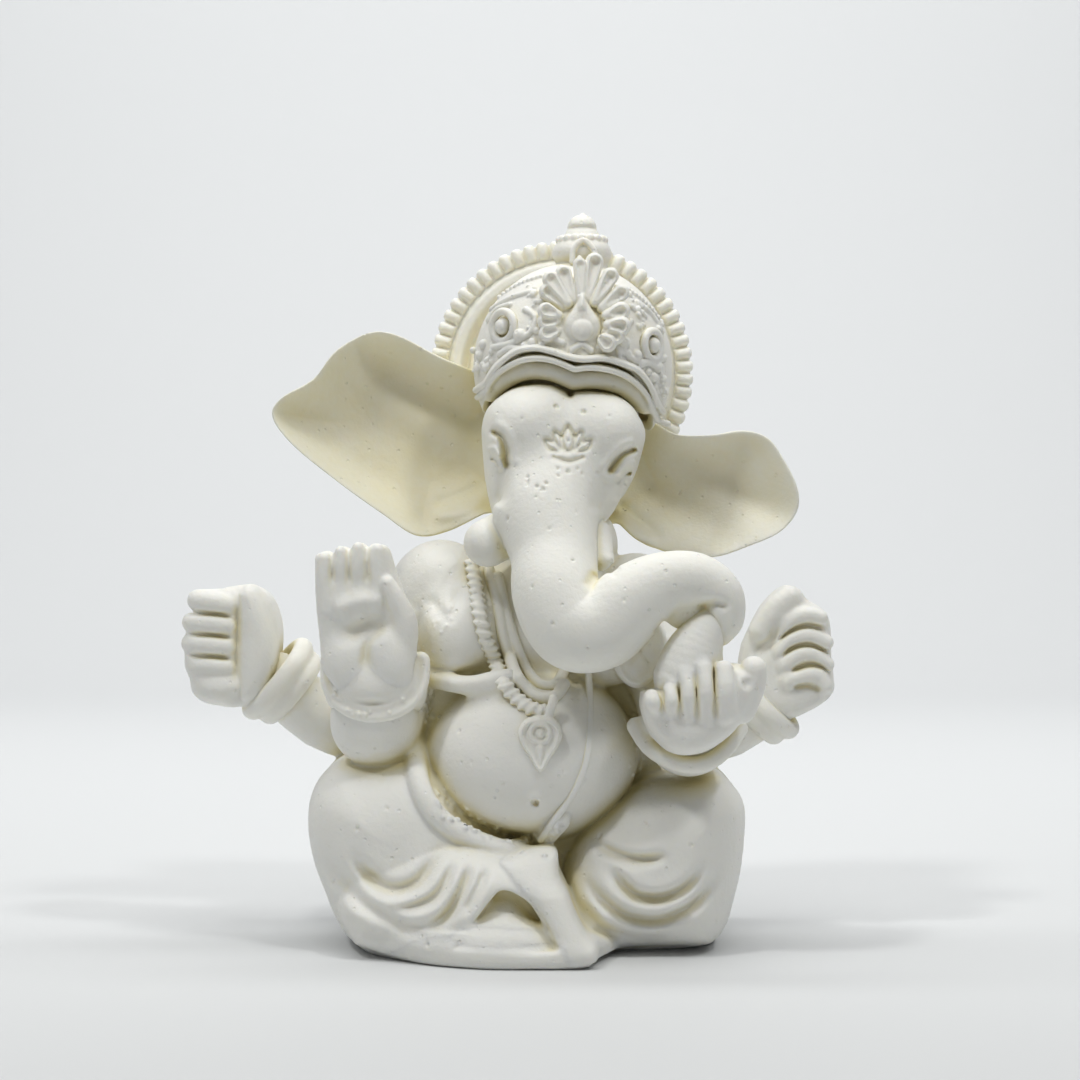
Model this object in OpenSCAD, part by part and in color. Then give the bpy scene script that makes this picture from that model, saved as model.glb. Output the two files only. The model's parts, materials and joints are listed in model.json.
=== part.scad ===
// Seated four-armed Ganesha idol, cast in white stone powder.
// +Z is up, the figure faces -Y, and the origin is on the table under the middle of the seat.
// "right" and "left" are the figure's own: its right hand is on the -X side.

/* [Base] */
// Thickness of the flat base slab
slab_h = 3; // [2.4:0.2:3.2]
// Half of the width of the two crossed legs
leg_span = 30.2; // [29:0.2:31]

/* [Body] */
// Half width of the belly
belly_r = 14.6; // [14:0.2:15.2]
// Radius of the two chest mounds
breast_r = 5.2; // [4.6:0.2:5.6]
// Radius of the rounded sash above the dhoti
sash_r = 1.3; // [1:0.1:1.5]

/* [Head] */
// Radius of the trunk where it hangs lowest
trunk_r = 5.6; // [5:0.1:5.8]
// Thickness of an ear at its rim
ear_t = 1.7; // [1.4:0.1:2.2]
// How deep an ear is dished
ear_dish = 4.2; // [3:0.2:5]

/* [Crown and halo] */
// Radius of the halo disc without its beads
halo_r = 17.4; // [17:0.1:17.8]
// Thickness of the halo disc
halo_t = 2.6; // [2.2:0.1:3.2]
// Number of beads round the halo
halo_beads_n = 60; // [48:1:62]
// Number of petals in the crown's fan
petal_n = 11; // [9:2:11]

/* [Hidden] */
$fn = 18;
limb_fn = 14;
finger_fn = 8;
filler_fn = 11;
cord_fn = 6;
clear = 0.02; // gap that keeps two faces from sharing a plane
stone = "#F2F0E6";
ivory = "#EFEBD6";

// Main places of the figure
belly_c = [0.4, -7, 25.4];
chest_c = [1, 0, 42];
head_c = [4.8, -4, 67.5];
crown_c = [5.9, -1.2, 78.5];
crown_size = [13.4, 12, 14.3];
halo_c = [4.7, 11, 78.6];
finial_c = [7.2, -0.4, 95.2];
gem_c = [7, -13.2, 83.2];
head_tilt = [0, 8, 0];
brow_mark_c = [5.1, -15.9, 67.4];

// Trunk: points on its centre line with the radius there
trunk = [
  [4.2, -9.5, 63.5, 8], [2.6, -13.4, 58.5, 6.8], [3.2, -17, 52.5, 5.8],
  [3.6, -20.2, 47.5, trunk_r + 0.2], [5.6, -22, 43.4, trunk_r], [9.4, -22.6, 43.4, trunk_r - 0.2],
  [13.2, -22.8, 46.6, 4.9], [17, -22.8, 48.9, 4.1], [21.3, -22.8, 49.5, 3.5],
  [24.5, -22.8, 47.6, 3], [25.3, -22.6, 44.6, 2.4], [24.5, -22.4, 42.8, 1.9]
];

// Rim of each ear from its upper root round to its lower root, as [x, z]
right_ear_rim = [
  [-6.2, 77.8], [-12.6, 80.2], [-18.2, 83], [-22.2, 83.4], [-26.6, 81], [-30, 76.8], [-34.4, 74],
  [-35.4, 71.4], [-32.4, 67.4], [-26, 62.2], [-20.4, 58.2], [-15.8, 55.2], [-11.4, 55.8], [-6.4, 58.2]
];
left_ear_rim = [
  [16.8, 71.2], [20.4, 69.4], [25, 69.2], [29.4, 69.8], [32.8, 68.8], [35, 65.8], [36.8, 61.8],
  [36.8, 58.6], [34.6, 55.8], [30.4, 53.8], [25.4, 52.2], [20, 52.6], [15, 54.6], [12.6, 56.8]
];

// ---------- shapes that repeat ----------

module ball(c, r) {
  translate(c) sphere(r);
}

module egg(c, r, tilt = [0, 0, 0]) {
  translate(c) rotate(tilt) scale(r) sphere(1);
}

// Round-ended rods through points [x, y, z, radius]
module chain(points) {
  for (i = [0:len(points) - 2]) {
    hull() {
      ball([points[i].x, points[i].y, points[i].z], points[i][3]);
      ball([points[i + 1].x, points[i + 1].y, points[i + 1].z], points[i + 1][3]);
    }
  }
}

// A rod of one radius through points [x, y, z]
module cord(points, r, fn = cord_fn) {
  chain([for (p = points) concat(p, r)], $fn = fn);
}

// One closed skin round everything inside it
module cast() {
  resize([0, 0, 0]) children();
}

// The first child as a casting, less all the others
module carved() {
  cast() difference() {
    children(0);
    children([1:$children - 1]);
  }
}

module above_slab() {
  translate([-60, -60, slab_h]) cube([120, 120, 120]);
}

function catmull(a, b, c, d, t) = 0.5 * (
  2 * b + (c - a) * t + (2 * a - 5 * b + 4 * c - d) * t * t + (3 * b - a - 3 * c + d) * t * t * t
);

// A smooth line through points, with n steps between neighbours
function smooth(p, n) = [
  for (i = [0:len(p) - 2], j = [0:n - 1])
    catmull(p[max(i - 1, 0)], p[i], p[i + 1], p[min(i + 2, len(p) - 1)], j / n),
  p[len(p) - 1]
];

// A dished sheet between a straight root and a rim, thin along Y
module ear_sheet(rim, root_top, root_bottom, root_y, rim_y) {
  line = smooth(rim, 2);
  n = len(line);
  rows = 6;
  front = [
    for (u = [0:rows], v = [0:n - 1])
      let (
        s = u / rows,
        root = root_top + (root_bottom - root_top) * v / (n - 1),
        p = root + (line[v] - root) * s,
        y = root_y + (rim_y - root_y) * s + ear_dish * 4 * s * (1 - s) * sin(180 * v / (n - 1))
      )
      [p.x, y, p.y]
  ];
  back = [for (p = front) p + [0, ear_t, 0]];
  m = len(front);
  skin = [
    for (u = [0:rows - 1], v = [0:n - 2])
      let (a = u * n + v, b = a + 1, c = a + n + 1, d = a + n)
      each [[a, b, c], [a, c, d], [m + a, m + c, m + b], [m + a, m + d, m + c]]
  ];
  edge = concat(
    [for (v = [0:n - 1]) v],
    [for (u = [1:rows]) u * n + n - 1],
    [for (v = [n - 2:-1:0]) rows * n + v],
    [for (u = [rows - 1:-1:1]) u * n]
  );
  k = len(edge);
  wall = [
    for (i = [0:k - 1])
      let (a = edge[i], b = edge[(i + 1) % k])
      each [[b, a, m + a], [b, m + a, m + b]]
  ];
  faces = concat(skin, wall);
  turned = (line[1].x < line[n - 1].x) ? [for (f = faces) [f[0], f[2], f[1]]] : faces;
  polyhedron(concat(front, back), turned, convexity = 6);
}

// A cuff round the wrist, standing across the line that tilt turns +Z to
module cuff(c, r, width, tilt) {
  translate(c) rotate(tilt) rotate_extrude($fn = 20) {
    translate([r, 0]) scale([1, width]) circle(1.35, $fn = 8);
  }
}

// ---------- raw masses, before they are fitted to each other ----------

module torso_raw() {
  egg(belly_c, [belly_r, 14, 11.9]);
  egg([0.8, 4.5, 24], [14.4, 11.5, 18]);
  egg([0, 4, 11], [17, 14, 10.5]);
  egg([-12.8, -1.6, 32], [6.2, 6.4, 10], $fn = filler_fn);
  egg([13.4, 0.6, 31], [6.8, 6.6, 10], $fn = filler_fn);
}

module chest_raw() {
  egg(chest_c, [14.6, 10.6, 11.4]);
  egg([-12, -3, 48], [6.4, 6.4, 6.6], $fn = filler_fn);
  ball([-8.8, -8.2, 41.8], breast_r + 0.4, $fn = limb_fn);
  ball([10.6, -8.2, 40.4], breast_r + 0.4, $fn = limb_fn);
}

module neck_raw() {
  egg([3.6, 0.5, 54], [8.6, 8.6, 7], $fn = limb_fn);
}

module head_raw() {
  egg(head_c, [10.9, 12, 9.8], head_tilt);
  egg([4.7, -7.5, 70.5], [10.6, 8.2, 6.6], head_tilt);
  chain(trunk, $fn = 16);
}

module right_leg_raw() {
  egg([-leg_span + 11.4, -6.5, 13.4], [11.6, 17, 12.2], [0, 14, 0]);
  egg([-13, -14, 8.6], [14, 11, 8.2], [0, 6, -8]);
  egg([-14, 5, 13], [14, 13.5, 11.5], $fn = limb_fn);
}

module left_leg_raw() {
  egg([leg_span - 12.2, -5.8, 12], [11.6, 17, 11.4], [0, -10, 0]);
  egg([13.6, -12.6, 8.4], [13.6, 11, 8], [0, -6, 8]);
  egg([14, 5, 12.6], [14, 13, 11], $fn = limb_fn);
}

module right_front_arm_raw() {
  chain([
    [-13, -1.5, 47.6, 6.4], [-17.2, -4.6, 38, 5.6], [-20.4, -9.6, 30.4, 6], [-20.6, -12.6, 32.2, 5.7]
  ], $fn = limb_fn);
}

module left_front_arm_raw() {
  chain([
    [14.6, -1.5, 46.6, 6.2], [18, -6, 37, 5], [20.8, -11.6, 29.8, 5.7], [21, -16, 29.4, 5.8]
  ], $fn = limb_fn);
}

module right_rear_arm_raw() {
  chain([
    [-13.6, 4.5, 44, 5.6], [-21, 5.4, 33, 4.6], [-26.6, 3.6, 28, 4.1], [-37, -0.6, 35.6, 3.9]
  ], $fn = limb_fn);
}

module left_rear_arm_raw() {
  chain([
    [15, 4.5, 43, 5.4], [21.6, 5, 32, 4.4], [26, 3.2, 27.6, 4], [33, -0.8, 32.2, 3.8]
  ], $fn = limb_fn);
}

// An open hand, palm to -Y: four fingers standing side by side over a cupped palm
module right_front_hand_raw() {
  egg([-21.5, -15.6, 41.4], [6.7, 3.5, 8.4], $fn = limb_fn);
  egg([-18.4, -16.6, 38.2], [4.3, 3.2, 5.6], [0, -14, 0], $fn = limb_fn);
  for (f = [[-26.9, 52.4], [-24.4, 53.1], [-21.8, 53.8], [-19.1, 53.4]]) {
    chain([
      [f.x * 0.9 - 2.2, -16, 42, 1.6], [f.x, -16.2, 47.4, 1.6], [f.x, -17.4, f.y - 1.4, 1.45]
    ], $fn = finger_fn);
  }
  chain([[-16, -15.8, 39, 2.2], [-15.8, -17, 44, 1.9], [-17.2, -17.6, 48.2, 1.5]], $fn = finger_fn);
}

// A hand cupped round the sweet, knuckles to -Y
module left_front_hand_raw() {
  egg([22.4, -22, 31.6], [7.6, 4.8, 4.6], [0, -14, 0], $fn = limb_fn);
  egg([21.4, -18.6, 33], [6.8, 3.4, 4.6], $fn = limb_fn);
  fingers = [[15.6, 33.6, 35.4], [17.9, 34, 37], [20.3, 34.4, 38.4], [22.8, 34.8, 39], [25.4, 35.2, 38.6]];
  for (f = fingers) {
    chain([
      [f.x, -24.6, 31.8, 1.5], [f.x - 0.1, -26, f.y, 1.4], [f.x - 0.3, -25.2, f.z, 1.2]
    ], $fn = finger_fn);
  }
  chain([[27.6, -22, 33.6, 2], [28.8, -23, 36.4, 1.8], [28.4, -23.6, 38.6, 1.5]], $fn = finger_fn);
}

// A closed hand that shows its knuckles: side is -1 for the figure's right
module rear_hand(side, c, pitch) {
  egg(c, [3.9, 5.2, 8], [0, side * 6, 0], $fn = limb_fn);
  for (i = [0:3]) {
    z = c.z + 5.6 - i * pitch;
    chain([
      [c.x + side * 0.4, c.y - 4, z, 1.6], [c.x + side * 6.8, c.y - 3.4, z - 0.4, 1.6],
      [c.x + side * 7.2, c.y + 0.8, z - 0.6, 1.5]
    ], $fn = finger_fn);
  }
  chain([
    [c.x - side * 1.6, c.y - 1.6, c.z + 2, 2], [c.x - side * 0.6, c.y - 3.6, c.z + 5.6, 1.8],
    [c.x + side * 1.4, c.y - 4.4, c.z + 7.4, 1.4]
  ], $fn = finger_fn);
}

// Height of the crown's lower edge, a degrees round from the front: it dips between the brows
function rim_z(a) = 74.4 + 4.4 * cos(a) - 1.6 * sin(a) - exp(-pow(a / 9, 2));

// Point on the crown's skin, a degrees from the front at height z, standing out from it
function crown_point(a, z, out = 0) =
  let (r = sqrt(max(0.02, 1 - pow((z - crown_c.z) / crown_size.z, 2))))
  [crown_c.x + (crown_size.x * r + out) * sin(a), crown_c.y - (crown_size.y * r + out) * cos(a), z];

module crown_raw() {
  intersection() {
    egg(crown_c, crown_size);
    translate([crown_c.x, crown_c.y, 74.3]) rotate([-20, 7, 0]) translate([-30, -30, 0]) cube(60);
  }
  ball([7.2, -0.6, 90.4], 4.4);
}

// ---------- the separate solids ----------

module base_slab() {
  color(stone) linear_extrude(slab_h - clear) hull() {
    translate([-14.6, -8]) circle(11.4);
    translate([15.4, -6.6]) circle(11.4);
    translate([-5, -17]) circle(9.6);
    translate([3.6, -18.2]) circle(9);
    translate([-12, 6]) circle(11);
    translate([13, 6]) circle(11);
  }
}

module right_leg() {
  color(stone) carved() {
    intersection() { right_leg_raw(); above_slab(); }
    torso_raw();
    waist_sash_raw();
    foot_raw();
    dhoti_end_raw();
    translate([0.6, -60, 0]) cube([60, 120, 60]);
  }
}

module left_leg() {
  color(stone) carved() {
    intersection() { left_leg_raw(); above_slab(); }
    torso_raw();
    waist_sash_raw();
    foot_raw();
    dhoti_end_raw();
    translate([-59.4, -60, 0]) cube([60, 120, 60]);
  }
}

module foot_raw() {
  egg([-3.4, -21.6, 4.4], [6.6, 6, 4]);
  for (i = [0:4]) {
    ball([-8 + 2.2 * i, -26.4, 4.2], 1.2 + 0.12 * i, $fn = finger_fn);
  }
}

module front_foot() {
  color(stone) carved() {
    intersection() { foot_raw(); above_slab(); }
    dhoti_end_raw();
  }
}

// Leans what it holds back by 0.26 for each unit of height
module leaning() {
  multmatrix([[1, 0, 0, 0], [0, 1, 0.26, 0], [0, 0, 1, 0], [0, 0, 0, 1]]) children();
}

// The free end of the cloth: a flat tongue that runs down and out from the sash
module dhoti_end_raw() {
  intersection() {
    leaning() translate([0, -15, 0]) rotate([90, 0, 0]) linear_extrude(12.4) {
      polygon([
        [-3.6, 13.4], [-0.4, 14.4], [3.4, 14.3], [3.8, 11.4], [5, 9], [6, 6.5], [7.3, 4.2],
        [8.6, 2.6], [8.6, 1], [3.6, 1], [3.4, 3], [2.2, 5.4], [0.4, 8.2], [-1.8, 10.4]
      ]);
    }
    above_slab();
  }
}

module dhoti_end() {
  color(stone) carved() {
    dhoti_end_raw();
    torso_raw();
    waist_sash_raw();
  }
}

module waist_sash_raw() {
  cord([
    [-15.2, -9.4, 27.4], [-14.4, -13, 22.4], [-11.6, -17, 18.4], [-7.6, -19.4, 15.8], [-3.4, -20.2, 14.2],
    [0.4, -19.8, 14], [2.4, -18.8, 15.4]
  ], sash_r, 10);
}

module waist_sash() {
  color(stone) carved() {
    waist_sash_raw();
    torso_raw();
  }
}

module torso() {
  color(stone) carved() {
    intersection() { torso_raw(); above_slab(); }
  }
}

module chest() {
  color(stone) carved() {
    chest_raw();
    torso_raw();
    head_raw();
    left_front_hand_raw();
  }
}

module neck() {
  color(stone) carved() {
    neck_raw();
    chest_raw();
    head_raw();
    tusk_raw();
  }
}

module sacred_thread() {
  color(stone) carved() {
    cord([
      [8.6, -13.2, 39], [8.2, -17.2, 34.4], [7.8, -20, 29.6],
      [6.8, -21.2, 24.6], [4.8, -20.8, 19.6], [2.4, -19.4, 15.6]
    ], 0.7);
    torso_raw();
    chest_raw();
    waist_sash_raw();
    head_raw();
  }
}

// A garland from the right shoulder under the trunk to the left shoulder
module garland(drop, r) {
  cord([
    [-7.4, -7.2, 50], [-5.8, -12.2, 44 - drop * 0.3], [-3.4, -14.6, 39.6 - drop * 0.6],
    [0.6, -16.8, 36.6 - drop], [4.8, -16.6, 37 - drop],
    [8, -14.6, 40 - drop * 0.6], [10.6, -12, 44 - drop * 0.3]
  ], r);
}

module necklace_outer() {
  color(stone) carved() {
    garland(1.6, 0.95);
    torso_raw();
    chest_raw();
    head_raw();
    neck_raw();
    garland(-0.6, 0.7);
    right_front_arm_raw();
    tusk_raw();
  }
}

module necklace_inner() {
  color(stone) carved() {
    garland(-0.6, 0.7);
    torso_raw();
    chest_raw();
    head_raw();
    neck_raw();
    right_front_arm_raw();
    tusk_raw();
  }
}

module pendant() {
  color(stone) carved() {
    union() {
      egg([1.4, -19.6, 29.2], [2.7, 1.7, 2.6]);
      egg([1.4, -20.5, 26.8], [1.6, 1.4, 2.6]);
    }
    torso_raw();
  }
}

module right_front_arm() {
  color(stone) carved() {
    right_front_arm_raw();
    chest_raw();
    torso_raw();
    right_leg_raw();
    right_front_hand_raw();
    neck_raw();
    head_raw();
    tusk_raw();
  }
}

module left_front_arm() {
  color(stone) carved() {
    left_front_arm_raw();
    chest_raw();
    torso_raw();
    left_leg_raw();
    left_front_hand_raw();
    neck_raw();
    head_raw();
  }
}

module right_front_cuff() { cuff([-20.7, -13.8, 34.2], 5.9, 1.2, [-18, 2, 0]); }

module left_front_cuff() { cuff([21.2, -17.2, 30], 6.1, 1, [-34, -6, 0]); }

module right_rear_cuff() { cuff([-34.9, -0.6, 35.3], 5.4, 1.2, [10, -50, 0]); }

module left_rear_cuff() { cuff([32.5, -0.6, 31.9], 4.9, 1.1, [10, 46, 0]); }

module right_front_bangle() {
  color(stone) carved() {
    right_front_cuff();
    right_front_arm_raw();
    right_front_hand_raw();
    torso_raw();
    chest_raw();
  }
}

module left_front_bangle() {
  color(stone) carved() {
    left_front_cuff();
    left_front_arm_raw();
    left_front_hand_raw();
    torso_raw();
  }
}

module right_rear_bangle() {
  color(stone) carved() {
    right_rear_cuff();
    right_rear_arm_raw();
    right_rear_hand_raw();
  }
}

module left_rear_bangle() {
  color(stone) carved() {
    left_rear_cuff();
    left_rear_arm_raw();
    left_rear_hand_raw();
    left_front_hand_raw();
  }
}

module right_front_hand() {
  color(stone) carved() { right_front_hand_raw(); }
}

module left_front_hand() {
  color(stone) carved() {
    left_front_hand_raw();
    modak_raw();
  }
}

module modak_raw() {
  chain([[20.8, -21.6, 36, 4.4], [21.6, -22, 39.6, 3.6], [22.4, -22.4, 43.2, 2.2]], $fn = limb_fn);
}

module modak() {
  color(stone) carved() {
    modak_raw();
    head_raw();
    torso_raw();
  }
}

module right_rear_hand_raw() { rear_hand(-1, [-38, -0.8, 40.8], 3.1); }

module left_rear_hand_raw() { rear_hand(1, [33.6, -0.8, 39.4], 3); }

module right_rear_hand() {
  color(stone) carved() {
    right_rear_hand_raw();
    right_rear_arm_raw();
  }
}

module left_rear_hand() {
  color(stone) carved() {
    left_rear_hand_raw();
    left_rear_arm_raw();
    head_raw();
  }
}

module right_rear_arm() {
  color(stone) carved() {
    right_rear_arm_raw();
    chest_raw();
    torso_raw();
    right_leg_raw();
    right_front_arm_raw();
    neck_raw();
  }
}

module left_rear_arm() {
  color(stone) carved() {
    left_rear_arm_raw();
    chest_raw();
    torso_raw();
    left_leg_raw();
    left_front_arm_raw();
    neck_raw();
  }
}

// A small lotus with dots under it, cut into the brow
module brow_mark() {
  translate(brow_mark_c) {
    for (a = [-66, -33, 0, 33, 66]) {
      rotate([0, a, 0]) translate([0, 0, 1.8]) scale([0.45, 0.9, 1.15]) sphere(1, $fn = cord_fn);
    }
    for (x = [-1.4, 0, 1.4]) {
      translate([x, -1.3, -1.6]) sphere(0.5, $fn = cord_fn);
    }
  }
}

module head_with_trunk() {
  color(stone) carved() {
    head_raw();
    brow_mark();
  }
}

module tusk_raw() {
  chain([[-1, -9.6, 56.8, 3], [-5.8, -12.6, 53.8, 2.9]], $fn = 14);
  chain([[9, -11.4, 55.4, 1.9], [9.6, -15.4, 51.4, 1.3]], $fn = 14);
}

module one_tusk(side) {
  color(stone) carved() {
    tusk_raw();
    head_raw();
    chest_raw();
    translate([side > 0 ? -56 : 4, -60, 0]) cube([60, 120, 120]);
  }
}

module right_tusk() { one_tusk(-1); }

module left_tusk() { one_tusk(1); }

module right_ear() {
  color(ivory) carved() {
    ear_sheet(right_ear_rim, [-3, 77], [-3, 60], 2.6, -2.5);
    head_raw();
    crown_raw();
    neck_raw();
    chest_raw();
    right_front_arm_raw();
    tusk_raw();
  }
}

module left_ear() {
  color(ivory) carved() {
    ear_sheet(left_ear_rim, [11, 70.6], [9, 58], 2.6, -2.5);
    head_raw();
    crown_raw();
    neck_raw();
    chest_raw();
    left_front_arm_raw();
  }
}

module crown_dome() {
  color(ivory) carved() {
    crown_raw();
    head_raw();
  }
}

// Two thin flanges, one above the other, that follow the crown's lower edge
module brow_band_raw() {
  for (up = [0.2, 1.7]) {
    cord([for (a = [-90:18:90]) crown_point(a, rim_z(a) + up, 0.35)], 0.8);
  }
}

module crown_brow_band() {
  color(stone) carved() {
    brow_band_raw();
    crown_raw();
    head_raw();
  }
}

// A row of pearls along the lower edge and three more high up on each side
module pearls_raw() {
  for (a = [-84:14:84]) {
    translate(crown_point(a, rim_z(a) + 3.3, 0.1)) sphere(0.75, $fn = finger_fn);
  }
  for (side = [-1, 1], a = [60:20:100]) {
    translate(crown_point(side * a, 88.6, 0.1)) sphere(0.75, $fn = finger_fn);
  }
}

module crown_pearls() {
  color(ivory) carved() {
    pearls_raw();
    crown_raw();
    head_raw();
    brow_band_raw();
    fan_raw();
    gem_raw();
    finial_raw();
  }
}

// An oval frame with a pearl in it
module rosette_raw(a, z) {
  translate(crown_point(a, z)) rotate([0, 0, a]) rotate([74, 0, 0]) {
    scale([1, 1.2, 1]) rotate_extrude($fn = 16) translate([2.2, 0]) circle(0.7, $fn = cord_fn);
    translate([0, 0, 0.2]) sphere(1.25, $fn = finger_fn);
  }
}

module rosette(a, z) {
  color(ivory) carved() {
    rosette_raw(a, z);
    crown_raw();
    pearls_raw();
    fan_raw();
    brow_band_raw();
  }
}

module crown_right_rosette() { rosette(-50, 83.4); }

module crown_left_rosette() { rosette(54, 81.4); }

// Petals that spread round the gem, standing up from the crown
module fan_raw() {
  translate(gem_c) rotate([-14, 6, 0]) translate([0, 3.2, 0]) rotate([90, 0, 0]) linear_extrude(2.6) {
    for (i = [0:petal_n - 1]) {
      rotate(-110 + i * 220 / (petal_n - 1)) hull() {
        translate([0, 3]) circle(0.7, $fn = finger_fn);
        translate([0, 7.4]) circle(1.35, $fn = finger_fn);
      }
    }
  }
}

module gem_raw() {
  translate(gem_c) rotate([-14, 6, 0]) {
    hull() {
      scale([2.7, 1.9, 2.8]) sphere(1, $fn = 16);
      translate([0, 0.2, 4]) sphere(0.3, $fn = finger_fn);
    }
    translate([0, 1.6, 0]) rotate([90, 0, 0]) cylinder(h = 2.4, r = 3.4, center = true);
  }
}

module crown_petal_fan() {
  color(ivory) carved() {
    fan_raw();
    crown_raw();
    gem_raw();
    finial_raw();
  }
}

module crown_gem() {
  color(stone) carved() {
    gem_raw();
    crown_raw();
  }
}

module finial_raw() {
  translate(finial_c) {
    scale([4.1, 4, 3.1]) sphere(1);
    translate([0, 0, 1.5]) rotate_extrude($fn = 18) translate([2.9, 0]) circle(0.7, $fn = cord_fn);
    cylinder(h = 4.8, r1 = 2.6, r2 = 0.5, $fn = 16);
  }
}

module crown_finial() {
  color(ivory) carved() {
    finial_raw();
    crown_raw();
  }
}

module halo_profile() {
  polygon([
    [0, 0], [halo_r, 0], [halo_r, halo_t * 0.62], [halo_r - 3.6, halo_t * 0.62], [halo_r - 4, halo_t],
    [halo_r - 5.4, halo_t], [halo_r - 6, halo_t * 0.7], [0, halo_t * 0.7]
  ]);
}

module halo_place() {
  translate(halo_c) rotate([0, 0, 3]) children();
}

module halo_disc() {
  color(ivory) carved() {
    halo_place() rotate([90, 0, 0]) rotate_extrude($fn = 60) halo_profile();
    crown_raw();
    head_raw();
    ears_raw();
  }
}

module ears_raw() {
  ear_sheet(right_ear_rim, [-3, 77], [-3, 60], 2.6, -2.5);
  ear_sheet(left_ear_rim, [11, 70.6], [9, 58], 2.6, -2.5);
}

module halo_beads() {
  color(ivory) halo_place() difference() {
    for (i = [0:halo_beads_n - 1]) {
      rotate([0, i * 360 / halo_beads_n, 0]) translate([0, -halo_t / 2, halo_r + 0.4]) {
        sphere(0.86, $fn = 24);
      }
    }
    rotate([90, 0, 0]) cylinder(h = halo_t * 3, r = halo_r, center = true, $fn = 60);
  }
}

base_slab();
right_leg();
left_leg();
front_foot();
dhoti_end();
waist_sash();
torso();
chest();
neck();
sacred_thread();
necklace_outer();
necklace_inner();
pendant();
right_front_arm();
right_front_bangle();
right_front_hand();
left_front_arm();
left_front_bangle();
left_front_hand();
modak();
right_rear_arm();
right_rear_bangle();
right_rear_hand();
left_rear_arm();
left_rear_bangle();
left_rear_hand();
head_with_trunk();
right_tusk();
left_tusk();
right_ear();
left_ear();
crown_dome();
crown_brow_band();
crown_pearls();
crown_right_rosette();
crown_left_rosette();
crown_petal_fan();
crown_gem();
crown_finial();
halo_disc();
halo_beads();
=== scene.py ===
"""The seated Ganesha idol, sculpted over its CAD frame.

Every shape is laid down as a distance field in a block of samples, blended with its neighbours the way a
casting runs together, and skinned with one closed mesh for each CAD node. Lengths are millimetres in the
same frame as the CAD, and they turn into metres only where the meshes are made.
"""

import json
import math

import bpy
import numpy as np
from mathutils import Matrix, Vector


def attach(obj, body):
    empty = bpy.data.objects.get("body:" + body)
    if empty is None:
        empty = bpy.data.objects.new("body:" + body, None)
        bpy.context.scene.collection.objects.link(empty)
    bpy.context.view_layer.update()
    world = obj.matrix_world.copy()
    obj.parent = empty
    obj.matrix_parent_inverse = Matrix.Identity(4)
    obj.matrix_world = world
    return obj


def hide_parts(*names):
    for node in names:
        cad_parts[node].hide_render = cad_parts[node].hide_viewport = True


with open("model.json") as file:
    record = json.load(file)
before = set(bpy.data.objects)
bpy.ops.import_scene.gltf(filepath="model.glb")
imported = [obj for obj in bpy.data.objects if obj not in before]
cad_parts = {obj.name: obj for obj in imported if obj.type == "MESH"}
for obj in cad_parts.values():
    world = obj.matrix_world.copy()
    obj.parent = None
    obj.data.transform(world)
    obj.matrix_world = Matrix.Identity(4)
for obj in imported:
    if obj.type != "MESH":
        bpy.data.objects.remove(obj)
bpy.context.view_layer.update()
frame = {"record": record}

MM = 0.001
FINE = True
BODY_STEP = 0.24 if FINE else 0.6
HEAD_STEP = 0.2 if FINE else 0.5
DETAIL_STEP = 0.17 if FINE else 0.36
CROWN_STEP = 0.15 if FINE else 0.34
ROOM_STEP = 0.5 if FINE else 0.8
FAR = 6.0
GENTLE = 0.85  # holds the slope of a bent field under one
FOLD_REACH, LIP_REACH = 2.4, 4.2  # how far a fold is felt, without and with lips, in widths of the fold
LIP_AWAY, LIP_WIDE = 1.9, 1.3  # where a fold's lip stands and how wide it is, in the same
CLOTH, BROW_SKIN, CHEEK = (-30, -6), (-24, -10), (-22, -2)  # depths between which folds are cut
dice = np.random.default_rng(11)

# ---------------------------------------------------------------- distance fields


def vec(*p):
    return np.array(p, dtype=np.float64)


def turn(tilt):
    """The matrix of rotations about X, then Y, then Z, in degrees."""
    a, b, c = (math.radians(t) for t in tilt)
    rx = np.array([[1, 0, 0], [0, math.cos(a), -math.sin(a)], [0, math.sin(a), math.cos(a)]])
    ry = np.array([[math.cos(b), 0, math.sin(b)], [0, 1, 0], [-math.sin(b), 0, math.cos(b)]])
    rz = np.array([[math.cos(c), -math.sin(c), 0], [math.sin(c), math.cos(c), 0], [0, 0, 1]])
    return rz @ ry @ rx


class Shape:
    """A distance function and the box that holds its surface."""

    def __init__(self, low, high, distance):
        self.low = np.array(low, dtype=np.float64)
        self.high = np.array(high, dtype=np.float64)
        self.distance = distance


def egg(centre, radii, tilt=(0, 0, 0)):
    c = vec(*centre)
    r = vec(*radii)
    m = turn(tilt)
    reach = np.sqrt(((m * r) ** 2).sum(1))

    def distance(x, y, z):
        x, y, z = x - c[0], y - c[1], z - c[2]
        if any(tilt):
            x, y, z = (m[0, i] * x + m[1, i] * y + m[2, i] * z for i in range(3))
        k0 = np.sqrt((x / r[0]) ** 2 + (y / r[1]) ** 2 + (z / r[2]) ** 2) + 1e-6
        k1 = np.sqrt((x / r[0] ** 2) ** 2 + (y / r[1] ** 2) ** 2 + (z / r[2] ** 2) ** 2) + 1e-6
        return k0 * (k0 - 1) / k1

    return [Shape(c - reach, c + reach, distance)]


def ball(centre, r):
    return egg(centre, (r, r, r))


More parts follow.
